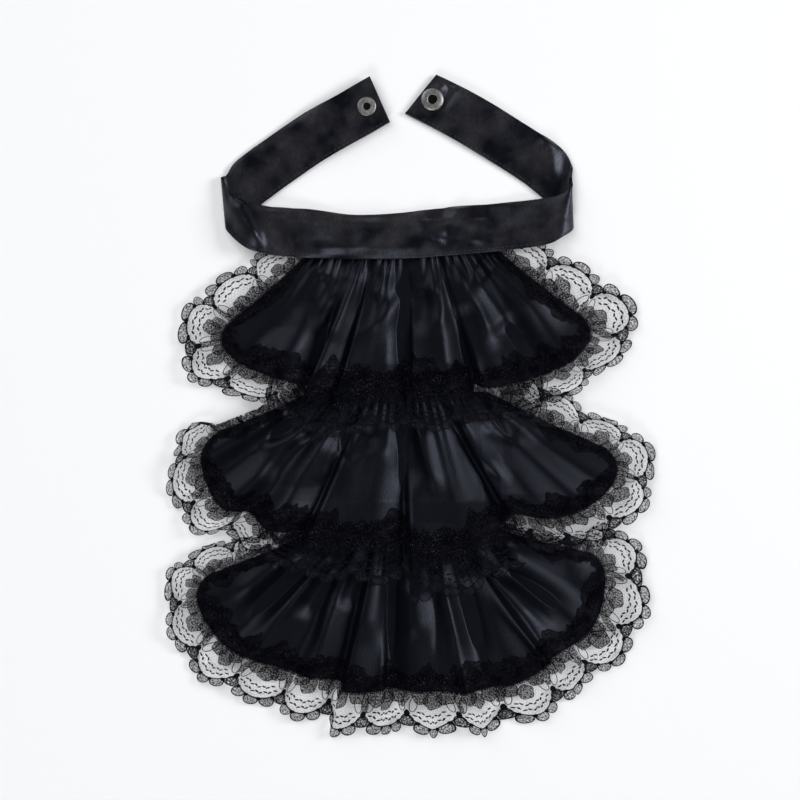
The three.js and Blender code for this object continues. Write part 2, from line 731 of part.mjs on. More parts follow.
/** Snap half with the socket: a domed ring above the strap, its post and a cap beneath. */
function socketGeometry() {
  const top = BAND_WALL / 2 + SNAP_GAP;
  const crown = top + SOCKET_HEIGHT;
  const ring = SOCKET_RING;
  return turned([
    [0, -top - SNAP_PLATE], [SOCKET_CAP_RADIUS, -top - SNAP_PLATE], [SOCKET_CAP_RADIUS, -top],
    [SNAP_POST_RADIUS, -top], [SNAP_POST_RADIUS, top], [SOCKET_RADIUS, top],
    [SOCKET_RADIUS, top + SOCKET_HEIGHT * ring.edge],
    [SOCKET_RADIUS * ring.shoulder, crown - SOCKET_HEIGHT * ring.shoulderDrop],
    [SOCKET_HOLE_RADIUS * ring.lip, crown], [SOCKET_HOLE_RADIUS, crown - SOCKET_HEIGHT * ring.lipDrop],
    [SOCKET_HOLE_RADIUS, top], [0, top],
  ]);
}

/** Snap half with the stud: a low ring above the strap, its post, and the stud beneath. */
function studGeometry() {
  const top = BAND_WALL / 2 + SNAP_GAP;
  const base = -top - SNAP_PLATE;
  const crown = top + STUD_RING_HEIGHT;
  const ring = STUD_RING;
  return turned([
    [0, base - STUD_LENGTH], [STUD_RADIUS * STUD_KNOB.tip, base - STUD_LENGTH],
    [STUD_RADIUS, base - STUD_LENGTH * STUD_KNOB.bulge], [STUD_RADIUS * STUD_KNOB.waist, base],
    [STUD_BASE_RADIUS, base], [STUD_BASE_RADIUS, -top], [SNAP_POST_RADIUS, -top],
    [SNAP_POST_RADIUS, top], [STUD_RING_RADIUS, top],
    [STUD_RING_RADIUS, top + STUD_RING_HEIGHT * ring.edge],
    [STUD_RING_RADIUS * ring.shoulder, crown], [STUD_HOLE_RADIUS * ring.lip, crown],
    [STUD_HOLE_RADIUS, top + STUD_RING_HEIGHT * ring.lipHeight], [STUD_HOLE_RADIUS, top], [0, top],
  ]);
}

/** Carrier panel: a flat strip from under the band to just past the bottom header. */
function carrierGeometry() {
  const length = CARRIER_TUCK + BOTTOM_HEADER_DROP + CARRIER_TAIL;
  const geometry = new THREE.BoxGeometry(CARRIER_WIDTH, length, CARRIER_WALL);
  return geometry.translate(0, CARRIER_TUCK - length / 2, CARRIER_WALL / 2);
}

/** Lays the carrier on the pile, for what comes above it. */
function settleCarrier(pile) {
  const from = -BOTTOM_HEADER_DROP - CARRIER_TAIL;
  for (let x = -CARRIER_WIDTH / 2; x <= CARRIER_WIDTH / 2; x += PILE_SAMPLE) {
    for (let y = from; y <= CARRIER_TUCK; y += PILE_SAMPLE) {
      pile.add(new THREE.Vector3(x, y, CARRIER_WALL / 2), CARRIER_WALL);
    }
  }
}

function named(name, geometry, material) {
  const mesh = new THREE.Mesh(geometry, material);
  mesh.name = name;
  return mesh;
}

const satin = () => new THREE.MeshStandardMaterial({ color: 0x0b0d14, roughness: 0.4, metalness: 0 });
const lace = () => new THREE.MeshStandardMaterial({ color: 0x17171b, roughness: 0.8, metalness: 0 });
const steel = () => new THREE.MeshStandardMaterial({ color: 0x9a9792, roughness: 0.35, metalness: 1 });

const jabot = new THREE.Group();
const pile = new Pile();
jabot.add(named('carrier_panel', carrierGeometry(), satin()));
settleCarrier(pile);
for (const form of RUFFLE_FORMS) {
  const ruffle = new Ruffle(form, pile);
  jabot.add(named(`ruffle_${form.name}`, ruffle.satinGeometry(), satin()));
  jabot.add(named(`lace_${form.name}`, ruffle.laceGeometry(), lace()));
  ruffle.settle();
}
const band = new Band(pile);
jabot.add(named('neck_band', band.geometry(), satin()));
const socket = named('snap_socket', socketGeometry(), steel());
socket.position.copy(band.snapPoint(SOCKET_INSET, false));
const stud = named('snap_stud', studGeometry(), steel());
stud.position.copy(band.snapPoint(STUD_INSET, true));
jabot.add(socket, stud);

// Stand the whole on z = 0 with its middle over the origin
const box = new THREE.Box3().setFromObject(jabot, true);
const middle = box.getCenter(new THREE.Vector3());
jabot.position.set(-middle.x, -middle.y, -box.min.z);

export default jabot;
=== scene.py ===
"""Jabot laid flat: three gathered satin ruffles edged with scalloped lace under a snap band.

Shapes are worked out in millimetres in the maker's frame, whose origin is the middle of the
lower edge of the band's front, and are moved and scaled into the frame when a mesh is made.
"""

import logging
import math
from dataclasses import dataclass
from enum import Enum
from typing import Callable, NamedTuple

import bmesh
import bpy
import numpy as np
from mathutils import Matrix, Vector


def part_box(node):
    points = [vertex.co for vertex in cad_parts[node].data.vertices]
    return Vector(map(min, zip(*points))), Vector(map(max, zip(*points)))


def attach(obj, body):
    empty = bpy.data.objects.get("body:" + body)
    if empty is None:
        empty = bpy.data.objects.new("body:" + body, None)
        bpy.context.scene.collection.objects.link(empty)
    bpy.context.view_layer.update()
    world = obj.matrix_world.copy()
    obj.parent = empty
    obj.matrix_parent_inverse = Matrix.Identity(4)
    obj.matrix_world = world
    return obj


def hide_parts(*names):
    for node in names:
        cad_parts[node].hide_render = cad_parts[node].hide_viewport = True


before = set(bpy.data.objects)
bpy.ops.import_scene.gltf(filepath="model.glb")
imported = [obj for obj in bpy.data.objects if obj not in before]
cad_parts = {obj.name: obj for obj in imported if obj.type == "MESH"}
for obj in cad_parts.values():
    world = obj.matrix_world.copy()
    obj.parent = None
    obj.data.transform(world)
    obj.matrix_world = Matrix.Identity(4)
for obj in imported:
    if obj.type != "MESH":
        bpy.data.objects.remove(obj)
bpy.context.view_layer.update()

log = logging.getLogger("jabot")
Array = np.ndarray
BMesh = bmesh.types.BMesh
Material = bpy.types.Material
Pair = tuple[float, float]
Triple = tuple[float, float, float]
MM = 0.001

# Cloth walls and gaps, as in the solids
SATIN_WALL = 1.1
CARRIER_WALL = 1.2
BAND_WALL = 1.6
EDGE_GAP = 0.7
LAYER_GAP = 0.4

# Sizes shared by the pieces
BAND_WIDTH = 27.5
LOOP_HALF_WIDTH = 96.1
LOOP_HEIGHT = 75.4
CARRIER_WIDTH = 84.0
CARRIER_TUCK = 6.0
CARRIER_TAIL = 10.0
HEADER_DROPS = {"bottom": 148.5, "middle": 73.7, "top": -3.3}
CORNER_RADIUS = 12.0
LACE_REACH = 28.0
LACE_START = 6.0
CORNER_SHARE = 0.55
LACE_FLOOR = 0.45
PILE_STEP = 2.5

# Height of the folds, lower than in the solids, the share of it that is left at the header,
# and the share of the tables' sharpness that the shown creases have
FOLD_HEIGHT = 9.5
GATHER_SHARE = 0.22
CREASE_SHARE = 0.10

# The photograph's millimetres a pixel, and the pixel that is the maker's origin
PHOTO_SCALE = 0.55
PHOTO_ORIGIN = (398.0, 258.0)

# Strokes: steps along one, height and width for one in the tables, unevenness of the flanks
# for a lean of one, fall to the sides, and the shares that fade at the head and the tail
STROKE_STEPS = 14
STROKE_HEIGHT = 0.9
STROKE_WIDTH = 1.4
STROKE_LEAN = 0.6
STROKE_FALL = 1.2
STROKE_FADES = (0.25, 0.35)

# Snap halves, as in the solids
SNAP_GAP = 0.3
SNAP_PLATE = 0.8
SNAP_HOLE = 3.05
STUD_LENGTH = 2.2

# Ribs and wires of the snap halves, in the scene only
SNAP_RIB = 0.12
SNAP_WIRE = 0.22
SNAP_WIRE_HEIGHT = 0.75


class Tier(Enum):
    """The three ruffles, from the lowest layer up."""

    BOTTOM = "bottom"
    MIDDLE = "middle"
    TOP = "top"


class Hold(Enum):
    """How a piece of cloth is held."""

    GATHERED = "gathered"
    FOLDED = "folded"
    LAID = "laid"


class Slot(Enum):
    """Material slots of the record."""

    SATIN = "satin_black"
    LACE = "lace_black"
    METAL = "snap_metal"


class Fold(NamedTuple):
    """A ridge, shoulder or valley: its header and hem places, its lift, and how sharp it is."""

    head: float
    x: float
    y: float
    lift: float
    crisp: float


class Lie(NamedTuple):
    """How much of the lace shows, a share of the way along it."""

    along: float
    reach: float


class Stroke(NamedTuple):
    """A ridge, or a hollow where the height is negative, on a curve through three pixels.

    A positive lean steepens the flank on the left of the way from head to tail.
    """

    head: Pair
    middle: Pair
    tail: Pair
    height: float
    width: float
    lean: float = 0.0


class Section(NamedTuple):
    """A cross-section of the band: lower edge, direction to the upper edge, level and arch."""

    x: float
    y: float
    bearing: float
    level: float
    arch: float


def table(kind: type, *rows: tuple) -> tuple:
    """A table's rows, all of one kind."""
    return tuple(kind(*row) for row in rows)


TOP_FOLDS = table(
    Fold,
    (-1.00, -1.04, 0.60, 0.35, 0.0), (-0.89, -0.89, 0.79, 0.05, 0.0),
    (-0.72, -0.69, 0.90, 0.80, 0.2), (-0.59, -0.49, 0.96, 0.05, 0.9),
    (-0.43, -0.52, 0.99, 1.00, 1.5), (-0.35, -0.32, 0.96, 0.15, 0.0),
    (-0.24, -0.35, 1.01, 0.85, 0.6), (-0.09, -0.12, 0.99, 0.60, 0.3),
    (0.02, 0.02, 0.93, 0.00, 0.4), (0.17, 0.06, 0.97, 0.80, 0.3), (0.33, 0.24, 0.99, 0.90, 1.0),
    (0.41, 0.37, 0.94, 0.05, 0.2), (0.50, 0.46, 0.97, 0.90, 1.4), (0.61, 0.62, 0.93, 0.55, 0.4),
    (0.74, 0.77, 0.87, 0.05, 0.3), (0.88, 0.93, 0.76, 0.95, 0.4), (1.00, 1.06, 0.54, 0.40, 0.0),
)
MIDDLE_FOLDS = table(
    Fold,
    (-1.00, -0.98, 0.27, 0.45, 0.0), (-0.91, -1.00, 0.40, 0.85, 0.5),
    (-0.82, -0.98, 0.56, 0.10, 0.2), (-0.73, -0.90, 0.71, 0.75, 0.3),
    (-0.63, -0.77, 0.74, 0.05, 0.6), (-0.55, -0.68, 0.84, 0.85, 1.4),
    (-0.43, -0.51, 0.85, 0.10, 0.4), (-0.34, -0.47, 0.89, 0.90, 1.2),
    (-0.16, -0.21, 0.89, 0.65, 0.0), (-0.02, -0.03, 0.87, 0.00, 0.6),
    (0.13, 0.02, 0.99, 0.90, 1.3), (0.32, 0.26, 0.94, 0.65, 0.2), (0.43, 0.46, 0.78, 0.05, 1.2),
    (0.53, 0.49, 0.74, 0.95, 1.5), (0.67, 0.67, 0.77, 0.60, 0.3), (0.80, 0.84, 0.71, 0.10, 0.3),
    (0.91, 0.96, 0.57, 0.85, 0.6), (1.00, 1.01, 0.38, 0.40, 0.0),
)
BOTTOM_FOLDS = table(
    Fold,
    (-1.00, -1.00, 0.32, 0.35, 0.0), (-0.90, -0.96, 0.52, 0.65, 0.3),
    (-0.81, -0.86, 0.71, 0.08, 0.3), (-0.70, -0.74, 0.79, 0.85, 1.2),
    (-0.59, -0.55, 0.87, 0.08, 0.4), (-0.49, -0.44, 0.91, 0.90, 1.4),
    (-0.39, -0.29, 0.94, 0.08, 0.5), (-0.30, -0.26, 1.00, 1.00, 0.5),
    (-0.20, -0.10, 1.00, 0.55, 0.0), (-0.10, -0.04, 0.98, 0.00, 0.8),
    (0.04, 0.09, 1.00, 0.75, 0.3), (0.24, 0.23, 1.00, 0.60, 0.2), (0.38, 0.33, 1.01, 0.90, 1.4),
    (0.47, 0.45, 0.98, 0.10, 0.4), (0.54, 0.59, 0.95, 0.35, 0.3), (0.60, 0.73, 0.85, 0.10, 0.5),
    (0.67, 0.76, 0.78, 0.95, 1.4), (0.77, 0.93, 0.65, 0.05, 0.3), (0.89, 1.00, 0.43, 0.80, 0.3),
    (1.00, 1.01, 0.17, 0.40, 0.0),
)
TOP_LIE = table(
    Lie,
    (0.00, 0.65), (0.12, 0.90), (0.20, 0.95), (0.28, 0.60), (0.38, 0.90), (0.50, 0.90),
    (0.65, 0.75), (0.77, 0.60), (0.84, 1.05), (0.90, 0.90), (1.00, 0.65),
)
MIDDLE_LIE = table(
    Lie,
    (0.00, 0.85), (0.03, 0.75), (0.07, 0.15), (0.13, 0.15), (0.18, 0.75), (0.24, 0.85),
    (0.32, 0.65), (0.42, 0.90), (0.50, 1.00), (0.70, 0.90), (0.82, 0.85), (0.88, 0.55),
    (0.94, 0.75), (1.00, 0.80),
)
BOTTOM_LIE = table(
    Lie,
    (0.00, 0.40), (0.06, 0.40), (0.12, 0.55), (0.18, 0.75), (0.28, 0.90), (0.40, 0.95),
    (0.70, 0.90), (0.80, 1.05), (0.85, 0.80), (0.89, 0.25), (1.00, 0.20),
)
TOP_STROKES = table(
    Stroke,
    ((336, 262), (292, 296), (258, 338), 1.8, 7.0, 0.3),
    ((326, 272), (316, 294), (298, 320), -2.2, 5.6),
    ((347, 262), (338, 292), (310, 320), 2.2, 3.6, -0.2),
    ((354, 264), (338, 306), (316, 350), -2.2, 2.4),
    ((364, 262), (344, 306), (310, 380), 2.8, 4.4, -0.3),
    ((330, 326), (313, 354), (302, 388), -3.2, 4.6),
    ((376, 262), (368, 292), (350, 326), -2.2, 4.2),
    ((388, 262), (382, 286), (372, 300), 1.8, 3.2),
    ((408, 286), (384, 318), (344, 346), 2.6, 4.2, -0.2),
    ((404, 266), (405, 330), (404, 392), -3.6, 5.6),
    ((418, 280), (442, 306), (420, 348), 2.2, 4.0, 0.3),
    ((419, 288), (422, 312), (414, 338), -1.4, 3.6),
    ((438, 262), (447, 306), (450, 360), 2.4, 5.0, 0.3),
    ((460, 300), (470, 340), (476, 384), -3.2, 5.4),
    ((452, 262), (477, 306), (498, 354), 3.2, 3.4, 0.4),
    ((478, 262), (516, 284), (572, 328), 6.4, 7.5, 0.45),
    ((498, 318), (516, 345), (534, 378), -3.2, 7.5),
)
MIDDLE_STROKES = table(
    Stroke,
    ((302, 396), (262, 403), (222, 424), 2.2, 8.0),
    ((294, 410), (276, 424), (262, 430), -3.4, 5.6),
    ((314, 422), (285, 442), (244, 446), 1.9, 2.8),
    ((308, 432), (284, 456), (262, 484), -3.2, 4.4),
    ((334, 436), (302, 462), (276, 494), 2.4, 5.0, -0.3),
    ((372, 420), (352, 445), (336, 452), -3.6, 7.0),
    ((339, 438), (326, 466), (320, 484), 1.6, 2.4),
    ((330, 462), (368, 456), (400, 442), 2.8, 6.0, 0.4),
    ((407, 396), (408, 450), (409, 505), -5.0, 4.4),
    ((416, 416), (427, 460), (441, 502), 3.2, 3.4, -0.5),
    ((450, 424), (480, 456), (502, 500), -2.8, 3.4),
    ((455, 402), (477, 450), (514, 484), 3.6, 3.6, -0.6),
    ((488, 418), (518, 410), (552, 436), 5.4, 7.0, 0.3),
    ((482, 425), (502, 436), (522, 437), -1.6, 2.8),
)
BOTTOM_STROKES = table(
    Stroke,
    ((284, 562), (260, 578), (234, 604), 2.2, 4.4),
    ((304, 556), (276, 588), (238, 622), -3.4, 5.0),
    ((335, 550), (300, 590), (256, 634), 2.8, 2.8, -0.5),
    ((334, 566), (312, 596), (300, 622), -2.6, 4.4),
    ((366, 550), (334, 592), (317, 658), 2.6, 2.8, -0.4),
    ((362, 560), (352, 590), (342, 612), -2.4, 4.0),
    ((374, 566), (370, 605), (362, 648), 2.8, 5.2),
    ((392, 540), (389, 600), (388, 674), -4.0, 3.0),
    ((406, 578), (417, 612), (416, 646), 2.5, 5.4),
    ((433, 588), (436, 625), (436, 660), -1.0, 1.6),
    ((439, 576), (450, 612), (464, 664), 2.4, 3.0, 0.4),
    ((462, 578), (474, 615), (480, 664), -2.8, 4.6),
    ((458, 550), (507, 592), (554, 640), 5.8, 4.6, 0.45),
    ((500, 580), (530, 602), (558, 630), 1.4, 2.0),
    ((500, 568), (534, 588), (578, 620), -3.8, 4.0),
    ((492, 552), (548, 546), (606, 560), 7.0, 9.5, 0.4),
)
BAND_STROKES = table(
    Stroke,
    ((236, 194), (249, 222), (266, 256), 2.4, 3.4, 0.7),
    ((276, 200), (282, 226), (286, 256), -0.7, 6.0),
    ((332, 210), (330, 232), (326, 256), 0.5, 5.0),
    ((374, 212), (368, 236), (366, 258), 0.5, 5.0),
    ((416, 208), (425, 228), (434, 250), 0.9, 3.2, 0.4),
    ((446, 206), (470, 220), (500, 236), 2.2, 6.0, 0.3),
    ((436, 238), (460, 238), (482, 250), -1.3, 3.0),
    ((516, 198), (514, 216), (520, 244), 0.5, 5.0),
    ((540, 132), (553, 158), (548, 190), 1.8, 5.0, 0.4),
    ((455, 82), (447, 96), (434, 110), -1.8, 3.2),
    ((444, 80), (437, 94), (424, 104), 0.7, 2.6),
    ((296, 116), (318, 122), (344, 112), 0.6, 5.0),
    ((262, 140), (280, 150), (304, 146), 0.5, 5.0),
    ((480, 122), (496, 134), (508, 150), 0.5, 5.0),
)
BAND_SECTIONS = table(
    Section,
    (-0.046, 0.999, 114, 0.0, 0.0), (-0.183, 0.898, 121, 0.0, 0.0),
    (-0.418, 0.730, 120, 0.0, 0.2), (-0.607, 0.569, 124, 0.0, 0.1),
    (-0.778, 0.409, 120, 0.0, 0.0), (-0.916, 0.263, 104, 0.1, 0.0),
    (-0.984, 0.219, 95, 0.55, 0.0), (-0.870, 0.080, 101, 1.0, 0.3),
    (-0.721, 0.022, 98, 0.85, 0.3), (-0.544, 0.007, 94, 0.35, 0.5), (-0.275, 0.0, 92, 0.0, 1.4),
    (0.011, 0.0, 90, 0.0, 1.2), (0.280, 0.022, 86, 0.0, 0.7), (0.601, 0.058, 80, 0.2, 0.6),
    (0.841, 0.095, 78, 0.8, 0.3), (0.938, 0.153, 80, 1.0, 0.1), (1.001, 0.234, 92, 0.5, 0.0),
    (0.904, 0.365, 72, 0.05, 0.0), (0.727, 0.555, 54, 0.0, 0.1), (0.458, 0.774, 56, 0.0, 0.2),
    (0.240, 0.934, 57, 0.0, 0.0), (0.040, 1.066, 51, 0.0, 0.0),
)


def smooth(share: Array) -> Array:
    """A share from 0 to 1, eased at both ends."""
    held = np.clip(share, 0.0, 1.0)
    return held * held * (3 - 2 * held)


def lerp(low: Array, high: Array, share: Array) -> Array:
    """The value a share of the way from low to high."""
    return low + (high - low) * share


def distances(line: Array) -> Array:
    """Distances along a line to each of its points, one row each."""
    return np.concatenate([[0.0], np.cumsum(np.linalg.norm(np.diff(line, axis=0), axis=1))])


def spread_over(across: Pair, along: Pair) -> tuple[Array, Array]:
    """Places on a lattice of the pile's step between two pairs of limits."""
    x, y = np.meshgrid(np.arange(*across, PILE_STEP), np.arange(*along, PILE_STEP))
    return x.ravel(), y.ravel()


def columns(rows: tuple) -> dict[str, Array]:
    """A table's columns by name."""
    return dict(zip(rows[0]._fields, np.array(rows, float).T))


def curved(column: Array, place: Array) -> Array:
    """A column of a table on a smooth curve through its rows.

    Args:
        column: The column's values.
        place: Places in the table, where whole numbers are rows.

    Returns:
        The values at the places.
    """
    last = len(column) - 1
    row = np.clip(np.floor(place).astype(int), 0, last - 1)
    share = place - row
    p0, p1 = column[np.maximum(row - 1, 0)], column[row]
    p2, p3 = column[row + 1], column[np.minimum(row + 2, last)]
    linear = (p2 - p0) / 2
    square = p0 - 2.5 * p1 + 2 * p2 - p3 / 2
    cube = (p3 - p0) / 2 + 1.5 * (p1 - p2)
    return p1 + share * (linear + share * (square + share * cube))


def pleated(lift: Array, crisp: Array, place: Array) -> Array:
    """Heights from row to row of a fold table, rounded or sharp at each row.

    Args:
        lift: Height of each row.
        crisp: Sharpness of each row, where 0 is round and 1 or more is a crease.
        place: Places in the table.

    Returns:
        The heights at the places.
    """
    row = np.clip(np.floor(place).astype(int), 0, len(lift) - 2)
    share = place - row
    rise = lift[row + 1] - lift[row]
    start, end = crisp[row] * rise, crisp[row + 1] * rise
    square, cube = 3 * rise - 2 * start - end, start + end - 2 * rise
    return lift[row] + share * (start + share * (square + share * cube))


def pressed(strokes: tuple[Stroke, ...], x: Array, y: Array) -> Array:
    """Height that strokes add to a cloth.

    Args:
        strokes: The strokes.
        x: Places in plan, in millimetres of the maker's frame.
        y: Places in plan, as many.

    Returns:
        The heights in millimetres.
    """
    total = np.zeros_like(x)
    share = np.linspace(0, 1, STROKE_STEPS + 1)[:, None]
    for stroke in strokes:
        pixels = np.array(stroke[:3]) - PHOTO_ORIGIN
        head, middle, tail = pixels * (PHOTO_SCALE, -PHOTO_SCALE)
        bend = 2 * middle - (head + tail) / 2
        path = (1 - share) ** 2 * head + 2 * share * (1 - share) * bend + share**2 * tail
        low, high = path.min(axis=0) - 3 * stroke.width, path.max(axis=0) + 3 * stroke.width
        near = (x > low[0]) & (x < high[0]) & (y > low[1]) & (y < high[1])
        if not near.any():
            continue
        step = np.diff(path, axis=0)
        gap_x = x[near][:, None] - path[None, :-1, 0]
        gap_y = y[near][:, None] - path[None, :-1, 1]
        t = np.clip((gap_x * step[:, 0] + gap_y * step[:, 1]) / (step**2).sum(axis=1), 0, 1)
        off_x, off_y = gap_x - t * step[:, 0], gap_y - t * step[:, 1]
        nearest = np.hypot(off_x, off_y).argmin(axis=1)
        row = np.arange(len(nearest))
        off_x, off_y, t = off_x[row, nearest], off_y[row, nearest], t[row, nearest]
        left = step[nearest, 0] * off_y - step[nearest, 1] * off_x > 0
        lean = STROKE_LEAN * stroke.lean
        side = np.where(left, 1 - lean, 1 + lean)
        off = np.hypot(off_x, off_y) / (stroke.width * STROKE_WIDTH * side)
        along = (nearest + t) / STROKE_STEPS
        fade = smooth(along / STROKE_FADES[0]) * smooth((1 - along) / STROKE_FADES[1])
        total[near] += stroke.height * STROKE_HEIGHT * fade * np.exp(-STROKE_FALL * off**2)
    return total


class Noise:
    """Smooth seeded noise from -1 to 1 on a lattice that repeats."""

    SIDE = 64

    def __init__(self, seed: int) -> None:
        """Draws the lattice from the seed."""
        self.lattice = np.random.default_rng(seed).uniform(-1, 1, (self.SIDE, self.SIDE))

    def at(self, x: Array, y: Array) -> Array:
        """Noise at places given in lattice cells."""
        column, row = np.floor(x).astype(int), np.floor(y).astype(int)
        across, along = smooth(x - column), smooth(y - row)

        def corner(i: int, j: int) -> Array:
            """The lattice's values at a corner of the cells."""
            return self.lattice[(column + i) % self.SIDE, (row + j) % self.SIDE]

        near = lerp(corner(0, 0), corner(1, 0), across)
        far = lerp(corner(0, 1), corner(1, 1), across)
        return lerp(near, far, along)


class Pile:
    """Height of everything laid down so far, as a smooth cover over its highest points."""

    CELL = 4.0
    REACH = 2
    SIDE = 140

    def __init__(self) -> None:
        """Starts with a bare surface."""
        self.tops = np.zeros((self.SIDE, self.SIDE))
        self.cover = self.tops

    def add(self, points: Array, wall: float) -> None:
        """Lays points of a sheet of a certain wall on the pile."""
        cells = np.floor(points[:, :2] / self.CELL).astype(int) + self.SIDE // 2
        np.maximum.at(self.tops, (cells[:, 0], cells[:, 1]), points[:, 2] + wall / 2)
        reach = range(-self.REACH, self.REACH + 1)
        high = np.max([np.roll(self.tops, (i, j), (0, 1)) for i in reach for j in reach], axis=0)
        near = range(-1, 2)
        self.cover = np.mean([np.roll(high, (i, j), (0, 1)) for i in near for j in near], axis=0)

    def at(self, x: Array, y: Array) -> Array:
        """Height of the cover at places in plan."""
        across = x / self.CELL - 0.5 + self.SIDE // 2
        along = y / self.CELL - 0.5 + self.SIDE // 2
        column, row = np.floor(across).astype(int), np.floor(along).astype(int)
        f, g = across - column, along - row
        near = lerp(self.cover[column, row], self.cover[column + 1, row], f)
        far = lerp(self.cover[column, row + 1], self.cover[column + 1, row + 1], f)
        return lerp(near, far, g)


@dataclass(frozen=True)
class Shift:
    """Move from the maker's frame to the model's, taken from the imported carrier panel."""

    x: float
    y: float
    z: float

    @classmethod
    def from_frame(cls) -> "Shift":
        """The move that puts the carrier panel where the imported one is."""
        low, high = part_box("carrier_panel")
        return cls((low.x + high.x) / 2 / MM, high.y / MM - CARRIER_TUCK, low.z / MM)

    def place(self, points: Array) -> Array:
        """Points in metres in the model's frame."""
        return (points + np.array([self.x, self.y, self.z])) * MM


class Workshop:
    def __init__(self) -> None:
        """Finds where the maker's frame sits."""
        self.shift = Shift.from_frame()

    def coords(self, bm: BMesh) -> Array:
        """The bmesh's vertices as an array."""
        return np.array([v.co[:] for v in bm.verts]).reshape(-1, 3)

    def piece(
        self, name: str, bm: BMesh, shape: Callable[[Array], Array],
        material: Material, slot: Slot, stands_for: tuple[str, ...] = (),
        flat: Callable[[Array], Array] | None = None,
    ) -> bpy.types.Object:
        """Turns a flat pattern into a placed piece.

        Args:
            name: Name of the piece.
            bm: The pattern, in millimetres, freed here.
            shape: Gives the placed points, in millimetres, of the pattern's points.
            material: Finish of the piece.
            slot: Slot of the record that the finish belongs to; not used.
            stands_for: CAD nodes that the piece replaces.
            flat: Gives the cut's coordinates of the pattern's points for the UV map.

        Returns:
            The new object.
        """
        mesh = bpy.data.meshes.new(name)
        bm.to_mesh(mesh)
        bm.free()
        pattern = np.zeros(len(mesh.vertices) * 3)
        mesh.vertices.foreach_get("co", pattern)
        pattern = pattern.reshape(-1, 3)
        placed = self.shift.place(shape(pattern))
        mesh.vertices.foreach_set("co", placed.ravel())
        corners = np.zeros(len(mesh.loops), dtype=int)
        mesh.loops.foreach_get("vertex_index", corners)
        cut = (flat(pattern) if flat else pattern)[:, :2] * MM
        mesh.uv_layers.new(name="Cut").data.foreach_set("uv", cut[corners].ravel())
        mesh.polygons.foreach_set("use_smooth", np.ones(len(mesh.polygons), dtype=bool))
        mesh.materials.append(material)
        mesh.update()
        piece = bpy.data.objects.new(name, mesh)
        bpy.context.scene.collection.objects.link(piece)
        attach(piece, "root")
        if stands_for:
            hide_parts(*stands_for)
        log.info("%s: %d faces", name, len(mesh.polygons))
        return piece

    @staticmethod
    def thicken(piece: bpy.types.Object, wall: float) -> None:
        """Gives a sheet its thickness, in millimetres, evenly on both faces."""
        solidify = piece.modifiers.new("Wall", "SOLIDIFY")
        solidify.thickness = wall * MM
        solidify.offset = 0.0
        solidify.use_even_offset = False

    @staticmethod
    def grid(columns: int, rows: int) -> BMesh:
        """A flat grid from 0 to 1 both ways."""
        bm = bmesh.new()
        bmesh.ops.create_grid(bm, x_segments=columns, y_segments=rows, size=0.5)
        bmesh.ops.translate(bm, verts=bm.verts, vec=(0.5, 0.5, 0))
        return bm


def copied(bm: BMesh, moves: list[Triple]) -> None:
    """Adds a copy of everything for each move."""
    first = bm.verts[:] + bm.edges[:] + bm.faces[:]
    for move in moves:
        copy = bmesh.ops.duplicate(bm, geom=first)["geom"]
        verts = [g for g in copy if isinstance(g, bmesh.types.BMVert)]
        bmesh.ops.translate(bm, verts=verts, vec=move)


class Sock:
    """A shader value that takes arithmetic."""

    def __init__(self, maker: "Shader", socket: bpy.types.NodeSocket) -> None:
        """Wraps an output socket."""
        self.maker = maker
        self.socket = socket

    def _maths(self, operation: str, first: object, second: object) -> "Sock":
        """A Math node on two values."""
        node = self.maker.node("ShaderNodeMath", {"operation": operation}, {0: first, 1: second})
        return Sock(self.maker, node.outputs[0])

    def __add__(self, other: object) -> "Sock":
        """Sum."""
        return self._maths("ADD", self, other)

    __radd__ = __add__

    def __sub__(self, other: object) -> "Sock":
        """Difference."""
        return self._maths("SUBTRACT", self, other)

    def __rsub__(self, other: object) -> "Sock":
        """Difference from a number."""
        return self._maths("SUBTRACT", other, self)

    def __mul__(self, other: object) -> "Sock":
        """Product."""
        return self._maths("MULTIPLY", self, other)

    __rmul__ = __mul__


